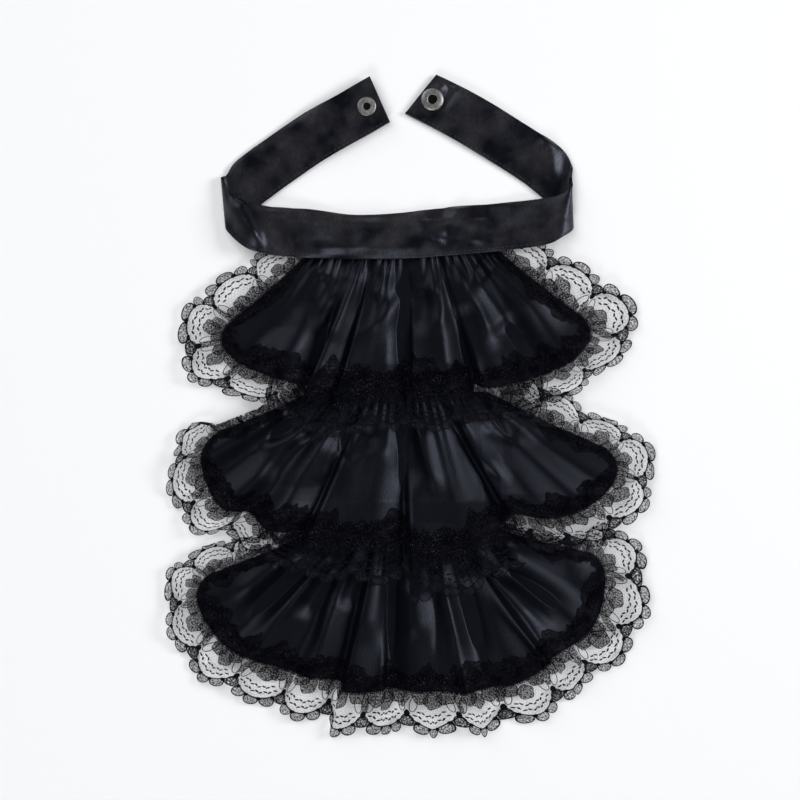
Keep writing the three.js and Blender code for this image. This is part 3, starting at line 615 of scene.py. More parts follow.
class Shader:
    """Node tree of one material with a Principled shader."""

    def __init__(self, name: str, base: Triple, roughness: float) -> None:
        """Starts a material with its plain values."""
        self.material = bpy.data.materials.new(name)
        self.material.use_nodes = True
        self.tree = self.material.node_tree
        self.shader = self.tree.nodes["Principled BSDF"]
        self.plain("Base Color", (*base, 1.0))
        self.plain("Roughness", roughness)

    def plain(self, socket: str, value: object) -> None:
        """Sets a socket that is the same all over."""
        self.shader.inputs[socket].default_value = value

    def node(self, kind: str, settings: dict, inputs: dict) -> bpy.types.Node:
        """Adds a node.

        Args:
            kind: The node's type.
            settings: Its properties, set first.
            inputs: Values or links of its sockets by name or number.

        Returns:
            The node.
        """
        node = self.tree.nodes.new(kind)
        for key, value in settings.items():
            setattr(node, key, value)
        for key, value in inputs.items():
            if isinstance(value, Sock):
                self.tree.links.new(value.socket, node.inputs[key])
            elif isinstance(value, bpy.types.NodeSocket):
                self.tree.links.new(value, node.inputs[key])
            else:
                node.inputs[key].default_value = value
        return node

    def cut(self, scale: Pair) -> bpy.types.NodeSocket:
        """The piece's cut coordinates in metres, scaled."""
        uv = self.node("ShaderNodeUVMap", {"uv_map": "Cut"}, {})
        mapping = self.node("ShaderNodeMapping", {}, {0: uv.outputs[0], "Scale": (*scale, 1.0)})
        return mapping.outputs[0]

    def spot(self, scale: float) -> bpy.types.NodeSocket:
        """Object coordinates, scaled."""
        place = self.node("ShaderNodeTexCoord", {}, {})
        inputs = {0: place.outputs["Object"], "Scale": (scale, scale, scale)}
        return self.node("ShaderNodeMapping", {}, inputs).outputs[0]

    def noise(self, vector: bpy.types.NodeSocket, detail: float = 2.0) -> Sock:
        """Noise from 0 to 1 on a vector."""
        inputs = {"Vector": vector, "Scale": 1.0, "Detail": detail}
        return Sock(self, self.node("ShaderNodeTexNoise", {}, inputs).outputs["Fac"])

    def link(self, value: object, socket: str) -> None:
        """Links a value to the shader."""
        out = value.socket if isinstance(value, Sock) else value
        self.tree.links.new(out, self.shader.inputs[socket])

    def bump(self, height: Sock, distance: float, strength: float = 1.0) -> None:
        """Links a height in metres, scaled by distance, to the shader's normal."""
        inputs = {"Height": height, "Distance": distance, "Strength": strength}
        self.link(self.node("ShaderNodeBump", {}, inputs).outputs[0], "Normal")

    def blend(self, low: tuple, high: tuple, share: Sock) -> bpy.types.NodeSocket:
        """A colour between two, a share of the way."""
        settings = {"data_type": "RGBA"}
        inputs = {0: share, 6: (*low, 1.0), 7: (*high, 1.0)}
        return self.node("ShaderNodeMix", settings, inputs).outputs[2]


@dataclass(frozen=True)
class SatinFinish:
    """Black satin: fine weft grain, a soft gloss and a bluish cast, with cloudy patches of a
    second colour: slight wear on the satin, lighter patches of painted sheen on the ribbon.
    """

    name: str = "satin"
    base: Triple = (0.0003, 0.0005, 0.0018)
    wear_and_sheen: Triple = (0.0005, 0.0007, 0.0022)
    roughness: float = 0.46
    level: float = 0.40
    grain_mm: Pair = (0.7, 2.6)
    grain_relief_mm: float = 0.10

    def material(self) -> Material:
        """The satin's material."""
        maker = Shader(self.name, self.base, self.roughness)
        weft, warp = self.grain_mm
        grain = maker.noise(maker.cut((1 / weft / MM, 1 / warp / MM)), 3.0)
        cloudy = maker.noise(maker.cut((60.0, 60.0)))
        # Cloudy patches of the second colour: slight wear on the satin, painted sheen on the
        # ribbon
        nap_and_sheen = 5.0 * grain * (cloudy - 0.36)
        maker.link(maker.blend(self.base, self.wear_and_sheen, nap_and_sheen), "Base Color")
        maker.link(self.roughness - 0.08 + 0.16 * grain, "Roughness")
        maker.bump(grain, self.grain_relief_mm * MM)
        maker.plain("Specular IOR Level", self.level)
        maker.plain("Specular Tint", (0.72, 0.78, 1.0, 1.0))
        return maker.material


@dataclass(frozen=True)
class ThreadFinish:
    """Matt black thread of the net, the cords and the stitches."""

    name: str = "lace_thread"
    base: Triple = (0.0020, 0.0023, 0.0045)
    light: Triple = (0.0045, 0.0052, 0.0095)
    roughness: float = 0.7

    def material(self) -> Material:
        """The thread's material."""
        maker = Shader(self.name, self.base, self.roughness)
        twist = maker.noise(maker.cut((1500.0, 1500.0)))
        maker.link(maker.blend(self.base, self.light, twist), "Base Color")
        maker.link(self.roughness + 0.2 * twist, "Roughness")
        maker.plain("Specular IOR Level", 0.08)
        maker.bump(twist, 0.00008)
        return maker.material


@dataclass(frozen=True)
class ClothworkFinish:
    """Closely worked lace: petals and lobes that let a little light through."""

    name: str = "lace_petals"
    base: Triple = (0.0006, 0.0007, 0.0022)
    light: Triple = (0.042, 0.042, 0.052)
    openness: float = 0.30

    def material(self) -> Material:
        """The clothwork's material."""
        maker = Shader(self.name, self.base, 0.65)
        stitch = maker.noise(maker.cut((1500.0, 900.0)), 1.0)
        patch = maker.noise(maker.cut((150.0, 150.0)), 2.0)
        speckle = 9.0 * (stitch - 0.52) * (patch - 0.34)
        maker.link(maker.blend(self.base, self.light, speckle), "Base Color")
        maker.link(1 - self.openness + 2.6 * (stitch - 0.5), "Alpha")
        maker.plain("Specular IOR Level", 0.04)
        maker.bump(stitch, 0.00012)
        return maker.material


@dataclass(frozen=True)
class MetalFinish:
    """Dull nickel, darker in random patches; the near-black painted shade in the holes is a finish
    of its own.
    """

    name: str = "snap_nickel"
    base: Triple = (0.70, 0.69, 0.68)
    dark: Triple = (0.22, 0.215, 0.21)
    roughness: float = 0.46

    def material(self) -> Material:
        """The snap's material."""
        maker = Shader(self.name, self.base, self.roughness)
        wear = maker.noise(maker.spot(900.0), 3.0)
        maker.link(maker.blend(self.dark, self.base, wear), "Base Color")
        maker.link(self.roughness - 0.1 + 0.3 * wear, "Roughness")
        maker.plain("Metallic", 1.0)
        maker.bump(wear, 0.00005)
        return maker.material


@dataclass(frozen=True)
class FloorFinish:
    """Plain white paper."""

    name: str = "floor_paper"

    def material(self) -> Material:
        """The floor's material."""
        maker = Shader(self.name, (0.90, 0.905, 0.92), 0.85)
        maker.plain("Specular IOR Level", 0.1)
        return maker.material


class Finishes:
    """Every finish of the jabot, made once."""

    def __init__(self) -> None:
        """Makes them."""
        # The ribbon is a lighter copy of the satin, painted lighter because its straps face the
        # light, and its second colour is painted sheen in lighter mottled patches
        ribbon = SatinFinish(
            "satin_ribbon_painted_sheen", (0.0008, 0.0010, 0.0026), (0.0240, 0.0230, 0.0250), 0.38, 0.50,
        )
        stitch = ThreadFinish("stitch_thread", (0.020, 0.020, 0.024), (0.075, 0.075, 0.085), 0.6)
        lobes = ClothworkFinish("lace_lobes", (0.006, 0.006, 0.009), (0.050, 0.050, 0.060), 0.46)
        # Near-black colour painted as the shade in the snaps' holes, also on the socket's springs
        hole_shade = ThreadFinish("snap_hole_shade", (0.002, 0.002, 0.002), (0.006, 0.006, 0.006), 0.6)
        self.satin = SatinFinish().material()
        self.ribbon = ribbon.material()
        self.thread = ThreadFinish().material()
        self.stitch = stitch.material()
        self.petals = ClothworkFinish().material()
        self.lobes = lobes.material()
        self.metal = MetalFinish().material()
        self.hole_shade = hole_shade.material()


@dataclass
class Ruffle:
    """One ruffle, laid on the pile from its cut: a along the hem, b down from the header."""

    tier: Tier
    fall: float
    spread: float
    header: float
    cut: float
    header_middle: float
    hem_middle: float
    rise: float
    folds: tuple[Fold, ...]
    lie: tuple[Lie, ...]
    strokes: tuple[Stroke, ...]
    pile: Pile
    seed: int
    columns_fine: int = 440
    rows_fine: int = 72
    cloth: float = 0.45
    hem_samples: int = 24
    bend: Pair = (0.42, 0.5)
    deepest: float = -0.3
    settled: float = 0.6

    def __post_init__(self) -> None:
        """Measures the hem."""
        self.header_y = -HEADER_DROPS[self.tier.value]
        self.column = columns(self.folds)
        last = (len(self.folds) - 1) * self.hem_samples
        self.places = np.arange(last + 1) / self.hem_samples
        x, y = self.plan(self.places, np.ones(last + 1))
        z = pleated(self.column["lift"], self.column["crisp"] * 0, self.places) * FOLD_HEIGHT
        self.lengths = distances(np.stack([x, y, z], axis=1))
        self.width = float(self.lengths[-1])
        self.noise = Noise(self.seed)

    def fold_line(self, place: Array) -> tuple[Array, ...]:
        """Header, bend and hem points, in plan, of the fold lines at places in the table."""
        share = curved(self.column["head"], place)
        head_x = (self.header_middle + share) * self.header
        head_y = self.header_y + self.rise * np.maximum(share, 0) ** 2
        hem_x = (self.hem_middle + curved(self.column["x"], place)) * self.spread
        hem_y = self.header_y - curved(self.column["y"], place) * self.fall
        bend_x, bend_y = lerp(head_x, hem_x, self.bend[0]), lerp(head_y, hem_y, self.bend[1])
        return head_x, head_y, bend_x, bend_y, hem_x, hem_y

    def plan(self, place: Array, t: Array) -> tuple[Array, Array]:
        """Points in plan, a share t of the way down the fold lines."""
        head_x, head_y, bend_x, bend_y, hem_x, hem_y = self.fold_line(place)
        s = 1 - t
        x = s * s * head_x + 2 * s * t * bend_x + t * t * hem_x
        y = s * s * head_y + 2 * s * t * bend_y + t * t * hem_y
        return x, y

    def run_at(self, place: Array, t: Array) -> tuple[Array, Array]:
        """Direction of the fold lines in plan, towards the hem."""
        head_x, head_y, bend_x, bend_y, hem_x, hem_y = self.fold_line(place)
        x = (bend_x - head_x) * (1 - t) + (hem_x - bend_x) * t
        y = (bend_y - head_y) * (1 - t) + (hem_y - bend_y) * t
        length = np.hypot(x, y)
        return x / length, y / length

    @staticmethod
    def puckers(a: Array, pitch: float, wander: float, noise: Array) -> Array:
        """Waves from -1 to 1 of a pitch that wanders with noise."""
        return np.sin(2 * np.pi * (a / pitch + wander * noise))

    def relief(self, a: Array, b: Array) -> Array:
        """Puckers of the gathers and soft unevenness of the cloth, in millimetres."""
        noise = self.noise.at
        wide = self.puckers(a, 13, 0.7, noise(a / 28, b / 60)) * 0.675 * np.exp(-b / 16)
        narrow = self.puckers(a, 6.3, 0.9, noise(a / 15 + 9, b / 40)) * 0.21 * np.exp(-b / 7)
        drape = noise(a / 24 + 20, b / 46 + 3) * 0.8 * smooth(b / 25)
        dents = noise(a / 8 + 40, b / 15 + 11) * 0.06 * smooth(b / 12)
        return wide + narrow + drape + dents

    def at(self, a: Array, b: Array, drop: Array | float = 0.0, detail: float = 1.0) -> Array:
        """Points of the cloth's middle surface for places on the cut, also beyond its edges.

        Args:
            a: Distances along the hem.
            b: Distances down from the header.
            drop: How far the lace has settled, from 0 at the edge to 1.
            detail: Share of the puckers and sharp creases that is there.

        Returns:
            The points, one row each.
        """
        held_a, held_b = np.clip(a, 0, self.width), np.clip(b, 0, self.cut)
        place = np.interp(held_a, self.lengths, self.places)
        t = held_b / self.cut
        side = np.where(a < 0, -1.0, 1.0)
        beside = np.maximum(np.maximum(-a, a - self.width), 0)
        below = np.maximum(b - self.cut, 0)
        x, y = self.plan(place, t)
        run_x, run_y = self.run_at(place, t)
        x = x + run_x * below - side * run_y * beside
        y = y + run_y * below + side * run_x * beside
        lift = pleated(self.column["lift"], self.column["crisp"] * CREASE_SHARE * detail, place)
        own = lift * FOLD_HEIGHT * lerp(GATHER_SHARE, 1, smooth(t))
        own = own + (self.relief(held_a, held_b) + pressed(self.strokes, x, y)) * detail
        own = np.maximum(own, self.deepest) * (1 - self.settled * drop)
        seat = self.pile.at(x, y) + LAYER_GAP + SATIN_WALL / 2
        return np.stack([x, y, seat + own], axis=1)

    def edge_lengths(self) -> tuple[float, float, float, float]:
        """Lengths of the lace along the side, the corner and the hem, and in all."""
        side = self.cut - CORNER_RADIUS - LACE_START
        corner = (CORNER_RADIUS + LACE_REACH * CORNER_SHARE) * (math.pi / 2)
        hem = self.width - 2 * CORNER_RADIUS
        return side, corner, hem, 2 * (side + corner) + hem

    def edge_at(self, distance: Array) -> tuple[Array, Array, Array, Array]:
        """Places on the cut's edge and their outward directions, distances along the lace."""
        side, corner, hem, whole = self.edge_lengths()
        mirrored = distance > whole / 2
        run = np.where(mirrored, whole - distance, distance)
        turn = np.clip((run - side) / corner, 0, 1) * (math.pi / 2)
        along = np.clip(run - side - corner, 0, hem / 2)
        a = CORNER_RADIUS * (1 - np.cos(turn)) + along
        turned = self.cut - CORNER_RADIUS * (1 - np.sin(turn))
        b = np.where(run < side, LACE_START + run, turned)
        out_a = np.where(mirrored, 1.0, -1.0) * np.cos(turn)
        return np.where(mirrored, self.width - a, a), b, out_a, np.sin(turn)

    def corner_at(self, distance: Array) -> Array:
        """Nearness to a corner, from 0 to 1, distances along the lace."""
        side, corner, _, whole = self.edge_lengths()
        run = np.minimum(distance, whole - distance)
        return smooth(1.4 - np.abs(run - side - corner / 2) / (corner / 2 + 8))

    def reach_at(self, along: Array) -> Array:
        """Share of the lace that shows, shares of the way along it."""
        starts, reaches = np.array(self.lie).T
        row = np.clip(np.searchsorted(starts, along) - 1, 0, len(starts) - 2)
        share = smooth((along - starts[row]) / (starts[row + 1] - starts[row]))
        return lerp(reaches[row], reaches[row + 1], share)

    def satin_cut(self, pattern: Array) -> Array:
        """Places on the cut for a grid from 0 to 1, header at the far side."""
        side, corner, hem, whole = self.edge_lengths()
        bend = 0.03
        left, right = pattern[:, 0] < bend, pattern[:, 0] > 1 - bend
        middle = (pattern[:, 0] - bend) / (1 - 2 * bend) * hem + side + corner
        turn_left = side + pattern[:, 0] / bend * corner
        turn_right = side + corner + hem + (pattern[:, 0] - 1 + bend) / bend * corner
        distance = np.where(left, turn_left, np.where(right, turn_right, middle))
        a, b, _, _ = self.edge_at(distance)
        return np.stack([a, b * (1 - pattern[:, 1]), pattern[:, 2]], axis=1)

    def satin(self, shop: Workshop, finishes: Finishes) -> bpy.types.Object:
        """The satin of the ruffle."""
        def shape(pattern: Array) -> Array:
            """The satin's placed points."""
            cut = self.satin_cut(pattern)
            return self.at(cut[:, 0], cut[:, 1])

        piece = shop.piece(
            f"satin_{self.tier.value}", shop.grid(self.columns_fine, self.rows_fine), shape,
            finishes.satin, Slot.SATIN, (f"ruffle_{self.tier.value}",), self.satin_cut,
        )
        shop.thicken(piece, self.cloth)
        return piece

    def settle(self) -> None:
        """Lays the ruffle on the pile, for what comes above it."""
        a, b = spread_over((0, self.width), (0, self.cut))
        satin = self.at(a, b, detail=0.0)
        whole = self.edge_lengths()[3]
        distance, out = spread_over((0, whole), (EDGE_GAP, LACE_REACH))
        edge_a, edge_b, out_a, out_b = self.edge_at(distance)
        shown = EDGE_GAP + (out - EDGE_GAP) * self.reach_at(distance / whole)
        lace = self.at(edge_a + out_a * shown, edge_b + out_b * shown, out / LACE_REACH, 0.0)
        self.pile.add(np.concatenate([satin, lace]), SATIN_WALL)


@dataclass
class LaceEdging:
    """Scalloped lace round a ruffle, from a flat repeat: u along it, v out from the hem."""

    ruffle: Ruffle
    scallop: float = 26.8
    lobes: int = 5
    lobe_radius: float = 3.45
    lobe_rise: float = 2.0
    scallop_depth: float = 9.0
    net_columns: int = 15
    strand: float = 0.05
    cord: float = 0.30
    rim_cord: float = 0.38
    loop_cord: float = 0.22
    petal_cord: float = 0.2
    least_reach: float = 0.6
    ripple_pitch: float = 31.0
    ripple_height: float = 2.6
    ripple_shift: float = 2.4
    petal_move: float = 1.4
    petal_sizes: Pair = (0.75, 1.15)
    petal_turn: float = 30.0
    corded: int = 3
    dash_rows: tuple[Pair, ...] = ((3.9, 3.6), (7.6, 5.6))
    dash_pitch: float = 2.05
    dash_half: Pair = (1.15, 0.5)
    dash_tilt: float = 24.0
    dash_stagger: float = 0.35
    knot_half: Pair = (1.25, 1.15)
    notch_half: Pair = (1.5, 2.2)

    def __post_init__(self) -> None:
        """Fits a whole number of repeats to the ruffle."""
        self.whole = self.ruffle.edge_lengths()[3]
        self.repeats = round(self.whole / self.scallop)
        self.repeat = self.whole / self.repeats
        self.random = np.random.default_rng(self.ruffle.seed)
        self.flowers = self.petals()

    def rim(self, u: Array) -> Array:
        """Base line of the lobes, where u is within one repeat."""
        bow = np.sin(np.pi * np.clip(u / self.repeat, 0, 1)) ** 0.8
        return LACE_REACH - self.lobe_rise - self.lobe_radius - self.scallop_depth * (1 - bow)

    def lay(self, pattern: Array) -> Array:
        """Lays points of the flat lace, (u, v, height), round the ruffle."""
        points = self.surface(pattern[:, 0], pattern[:, 1])
        step = 0.4
        along = self.surface(pattern[:, 0] + step, pattern[:, 1]) - points
        outward = self.surface(pattern[:, 0], pattern[:, 1] + step) - points
        normal = np.cross(outward, along)
        normal /= np.maximum(np.linalg.norm(normal, axis=1, keepdims=True), 1e-9)
        return points + normal * pattern[:, 2:3]

    def surface(self, u: Array, v: Array) -> Array:
        """The lace's middle surface: on the satin near the hem, then rippling out beyond it."""
        free = smooth(v / LACE_REACH)
        noise = self.ruffle.noise.at
        phase = 2 * np.pi * (u / self.ripple_pitch + 0.55 * noise(u / 60, u * 0 + 31))
        strength = 0.75 + 0.75 * noise(u / 45, u * 0 + 47)
        moved = u - self.ripple_shift * strength * free * np.sin(phase)
        reach = self.ruffle.reach_at(np.clip(moved / self.whole, 0, 1))
        scale = np.maximum(reach, self.least_reach)
        turn_back = LACE_REACH * np.minimum(reach / self.least_reach, 1)
        tucked = np.maximum(v - turn_back, 0)
        inner = v * (1 - 0.5 * self.ruffle.corner_at(moved))
        out = np.where(v > 0, scale * (v - 2 * tucked), inner)
        edge_a, edge_b, out_a, out_b = self.ruffle.edge_at(moved)
        drop = np.clip(out / LACE_REACH, 0, 1)
        points = self.ruffle.at(edge_a + out_a * out, edge_b + out_b * out, drop)
        lift = 0.5 * (1 - smooth(v / 8)) - 0.75 * smooth(tucked / 4)
        wave = self.ripple_height * free * (0.5 + 0.5 * np.cos(phase)) * strength
        points[:, 2] += lift + wave * (1 - smooth(tucked / 4))
        points[:, 2] = np.maximum(points[:, 2], LACE_FLOOR)
        return points

    def repeated(self, bm: BMesh) -> BMesh:
        """Copies one repeat along the whole edge."""
        copied(bm, [(self.repeat * count, 0, 0) for count in range(1, self.repeats)])
        bmesh.ops.remove_doubles(bm, verts=bm.verts, dist=0.02)
        return bm

    def net(self) -> BMesh:
        """One repeat of the hexagonal ground."""
        pitch = self.repeat / self.net_columns
        radius = pitch / math.sqrt(3)
        bm = bmesh.new()
        bmesh.ops.create_circle(bm, cap_ends=True, segments=6, radius=radius)
        hole = bm.faces[:]
        bmesh.ops.inset_region(
            bm, faces=hole, thickness=self.strand / 2, use_even_offset=True, use_boundary=True,
        )
        bmesh.ops.delete(bm, geom=hole, context="FACES_ONLY")
        bmesh.ops.translate(bm, verts=bm.verts, vec=(pitch / 2, 0, 0))
        copied(bm, [(pitch * i, 0, 0) for i in range(1, self.net_columns)])
        row_step = radius * 1.5
        rows = range(1, int((LACE_REACH + 1) / row_step))
        copied(bm, [(row % 2 * pitch / 2, row * row_step, 0) for row in rows])
        middles = [(f, f.calc_center_median()) for f in bm.faces]
        rims = self.rim(np.array([middle.x % self.repeat for _, middle in middles]))
        outside = [f for (f, middle), rim in zip(middles, rims) if middle.y >= rim + 0.1]
        bmesh.ops.delete(bm, geom=outside, context="FACES")
        return self.repeated(bm)

    @staticmethod
    def strand_along(bm: BMesh, path: Array, radius: float, height: float) -> None:
        """A round strand along a flat path, closed at its ends or joined to itself.

        Args:
            bm: The pattern that it is added to.
            path: The points, one row each.
            radius: Of the strand.
            height: Of its middle above the lace's surface.
        """
        sides = 5
        joined = bool(np.allclose(path[0], path[-1]))
        tangent = np.gradient(path, axis=0)
        if joined:
            tangent[0] = tangent[-1] = path[1] - path[-2]
        tangent /= np.linalg.norm(tangent, axis=1, keepdims=True)
        across = np.stack([-tangent[:, 1], tangent[:, 0]], axis=1)
        made = bmesh.ops.create_grid(bm, x_segments=len(path) - 1, y_segments=sides, size=0.5)
        for vert in made["verts"]:
            i = round((vert.co.x + 0.5) * (len(path) - 1))
            angle = (vert.co.y + 0.5) * 2 * math.pi
            thin = 0.1 if not joined and i in (0, len(path) - 1) else 1.0
            spot = path[i] + across[i] * math.cos(angle) * radius * thin
            vert.co = (spot[0], spot[1], height + math.sin(angle) * radius * 0.8 * thin)

    @staticmethod
    def disc(bm: BMesh, outline: Array, height: float, crown: float, cuts: int = 1) -> None:
        """A closely worked patch inside an outline, raised at its middle.

        Args:
            bm: The pattern that it is added to.
            outline: Points round it, counterclockwise from the angle of minus half a turn.
            height: Of its rim above the lace's surface.
            crown: Further height of its middle.
            cuts: New points on each edge.
        """
        count = len(outline)
        made = bmesh.ops.create_circle(bm, cap_ends=True, cap_tris=True, segments=count, radius=1)
        rim = [v for v in made["verts"] if v.co.length > 0.5]
        rim.sort(key=lambda v: math.atan2(v.co.y, v.co.x))
        for vert, spot in zip(rim, outline):
            vert.co = (spot[0], spot[1], height)
        middle = outline.mean(axis=0)
        for vert in made["verts"]:
            if vert not in rim:
                vert.co = (middle[0], middle[1], height + crown)
        edges = list({e for v in made["verts"] for e in v.link_edges})
        bmesh.ops.subdivide_edges(bm, edges=edges, cuts=cuts, use_grid_fill=True)

    @staticmethod
    def oval(
        centre: Pair, half: Pair, tilt: float, count: int, notch: float = 0.0,
    ) -> Array:
        """An oval outline, its second half-width along the tilt from +v, in degrees.

        Args:
            centre: Its middle, (u, v).
            half: Its half-widths.
            tilt: Turn from +v in degrees.
            count: Points round it.
            notch: Depth of its five small notches, as a share of the half-widths.

        Returns:
            The outline.
        """
        angle = np.linspace(-np.pi, np.pi, count, endpoint=False)
        lean = math.radians(tilt)
        bulge = 1 - notch * np.abs(np.cos(2.5 * angle + tilt)) ** 3
        x, y = half[0] * np.cos(angle) * bulge, half[1] * np.sin(angle) * bulge
        u = centre[0] + x * math.cos(lean) + y * math.sin(lean)
        v = centre[1] - x * math.sin(lean) + y * math.cos(lean)
        return np.stack([u, v], axis=1)

    def feet(self) -> Array:
        """The lobes' feet along the rim, evenly spaced on its curve, as (u, v) rows."""
        u = np.linspace(0, self.repeat, 200)
        run = distances(np.stack([u, self.rim(u)], axis=1))
        at = np.interp(np.linspace(0, run[-1], self.lobes + 1), run, u)
        return np.stack([at, self.rim(at)], axis=1)

    def lobe_outlines(self) -> list[Array]:
        """Outline of each lobe of one repeat, from one foot round to the other."""
        outlines = []
        feet = self.feet()
        angle = np.radians(np.linspace(205, -25, 15))[:, None]
        for start, end in zip(feet, feet[1:]):
            along = (end - start) / np.linalg.norm(end - start)
            outward = np.array([-along[1], along[0]])
            middle = (start + end) / 2 + outward * self.lobe_rise
            round_it = along * np.cos(angle) + outward * np.sin(angle)
            outlines.append(middle + round_it * self.lobe_radius)
        return outlines

    def cords(self) -> BMesh:
        """The cords of the rim, its lobes, the loops beside the notch and the big petals."""
        bm = bmesh.new()
        u = np.linspace(0, self.repeat, 31)
        self.strand_along(bm, np.stack([u, self.rim(u)], axis=1), self.rim_cord, 0.1)
        for outline in self.lobe_outlines():
            self.strand_along(bm, outline, self.cord, 0.1)
        for u, lean in ((3.4, -14), (self.repeat - 3.4, 14)):
            loop = self.oval((u, 7.4), (1.9, 5.0), lean, 20)
            self.strand_along(bm, np.vstack([loop, loop[:1]]), self.loop_cord, 0.1)
        self.repeated(bm)
        for outline, corded in self.flowers:
            if corded:
                self.strand_along(bm, np.vstack([outline, outline[:1]]), self.petal_cord, 0.25)
        return bm

    def petals(self) -> list[tuple[Array, bool]]:
        """Outlines of the petals and leaves, with the corded ones marked, no repeat the same."""
        half = self.repeat / 2
        shapes = (
            ((half - 6.4, 3.0), (5.2, 5.6), -35), ((half + 0.4, 5.6), (5.4, 6.4), 5),
            ((half + 7.0, 2.6), (5.2, 5.4), 38), ((0.0, 5.0), (2.6, 8.6), 0),
            ((half - 10.0, -5.4), (3.8, 3.2), 15), ((half - 1.0, -6.0), (4.6, 3.4), -10),
            ((half + 8.4, -5.8), (4.0, 3.2), 0), ((half + 3.0, -7.6), (4.2, 3.2), 0),
            ((half - 6.0, -7.2), (4.0, 3.2), 20),
        )
        outlines = []
        for repeat in range(self.repeats):
            for i, ((u, v), (wide, tall), tilt) in enumerate(shapes):
                move = self.random.uniform(-self.petal_move, self.petal_move, 2)
                size = self.random.uniform(*self.petal_sizes, 2)
                centre = (repeat * self.repeat + u + move[0], v + move[1])
                lean = tilt + self.random.uniform(-self.petal_turn, self.petal_turn)
                outline = self.oval(centre, (wide * size[0], tall * size[1]), lean, 20, 0.16)
                outlines.append((outline, i < self.corded))
        return outlines

    def dashes(self) -> list[Array]:
        """Outlines of the two rows of dashes inside the rim."""
        outlines = []
        for inset, start in self.dash_rows:
            spots = np.arange(start, self.repeat - start + 0.5, self.dash_pitch)
            levels = self.rim(spots) - inset
            leans = np.degrees(np.arctan(np.gradient(levels, spots)))
            for i, (u, v, lean) in enumerate(zip(spots, levels, leans)):
                way = (-1) ** i
                spot = (u, v + self.dash_stagger * way)
                outlines.append(self.oval(spot, self.dash_half, self.dash_tilt * way - lean, 8))
        return outlines

    def clothwork(self) -> BMesh:
        """Every closely worked petal."""
        bm = bmesh.new()
        for i, (outline, _) in enumerate(self.flowers):
            self.disc(bm, outline, 0.14 + 0.03 * (i % 4), 0.1)
        return bm

    def ground(self, pattern: Array) -> Array:
        """Places of a grid from 0 to 1 on the closely worked strip that lies on the satin."""
        u = pattern[:, 0] * self.whole
        noise = self.ruffle.noise.at
        depth = 12.0 + 5.0 * noise(u / 9, u * 0 + 13) + 2.0 * noise(u / 2.6, u * 0 + 17)
        return np.stack([u, 1.0 - (1 - pattern[:, 1]) * (depth + 1.0), u * 0 + 0.06], axis=1)

    def lobe_fills(self) -> BMesh:
        """One repeat of the thinly worked lobes."""
        bm = bmesh.new()
        for outline in self.lobe_outlines():
            self.disc(bm, outline[::-1], 0.05, 0.1)
        return self.repeated(bm)

    def knots(self) -> BMesh:
        """One repeat of the dashes and of the solid knots between the lobes and at the notch."""
        bm = bmesh.new()
        for outline in self.dashes():
            self.disc(bm, outline, 0.1, 0.1)
        for u, v in self.feet()[1:-1]:
            self.disc(bm, self.oval((u, v + 0.5), self.knot_half, 0, 10), 0.16, 0.2)
        notch = float(self.rim(np.array([0.0]))[0])
        self.disc(bm, self.oval((0.0, notch - 0.2), self.notch_half, 0, 12), 0.16, 0.25)
        return self.repeated(bm)

    def make(self, shop: Workshop, finishes: Finishes) -> list[bpy.types.Object]:
        """Makes every piece of the lace."""
        tier = self.ruffle.tier.value
        node = (f"lace_{tier}",)
        parts = (
            ("net", self.net(), finishes.thread),
            ("cords", self.cords(), finishes.thread),
            ("petals", self.clothwork(), finishes.petals),
            ("lobes", self.lobe_fills(), finishes.lobes),
            ("knots", self.knots(), finishes.thread),
        )
        pieces = [
            shop.piece(f"lace_{tier}_{kind}", bm, self.lay, finish, Slot.LACE, node)
            for kind, bm, finish in parts
        ]
        ground = shop.grid(self.repeats * 30, 10)

        def laid(pattern: Array) -> Array:
            """The strip's placed points."""
            return self.lay(self.ground(pattern))

        pieces.append(shop.piece(
            f"lace_{tier}_ground", ground, laid, finishes.petals, Slot.LACE, node, self.ground,
        ))
        return pieces


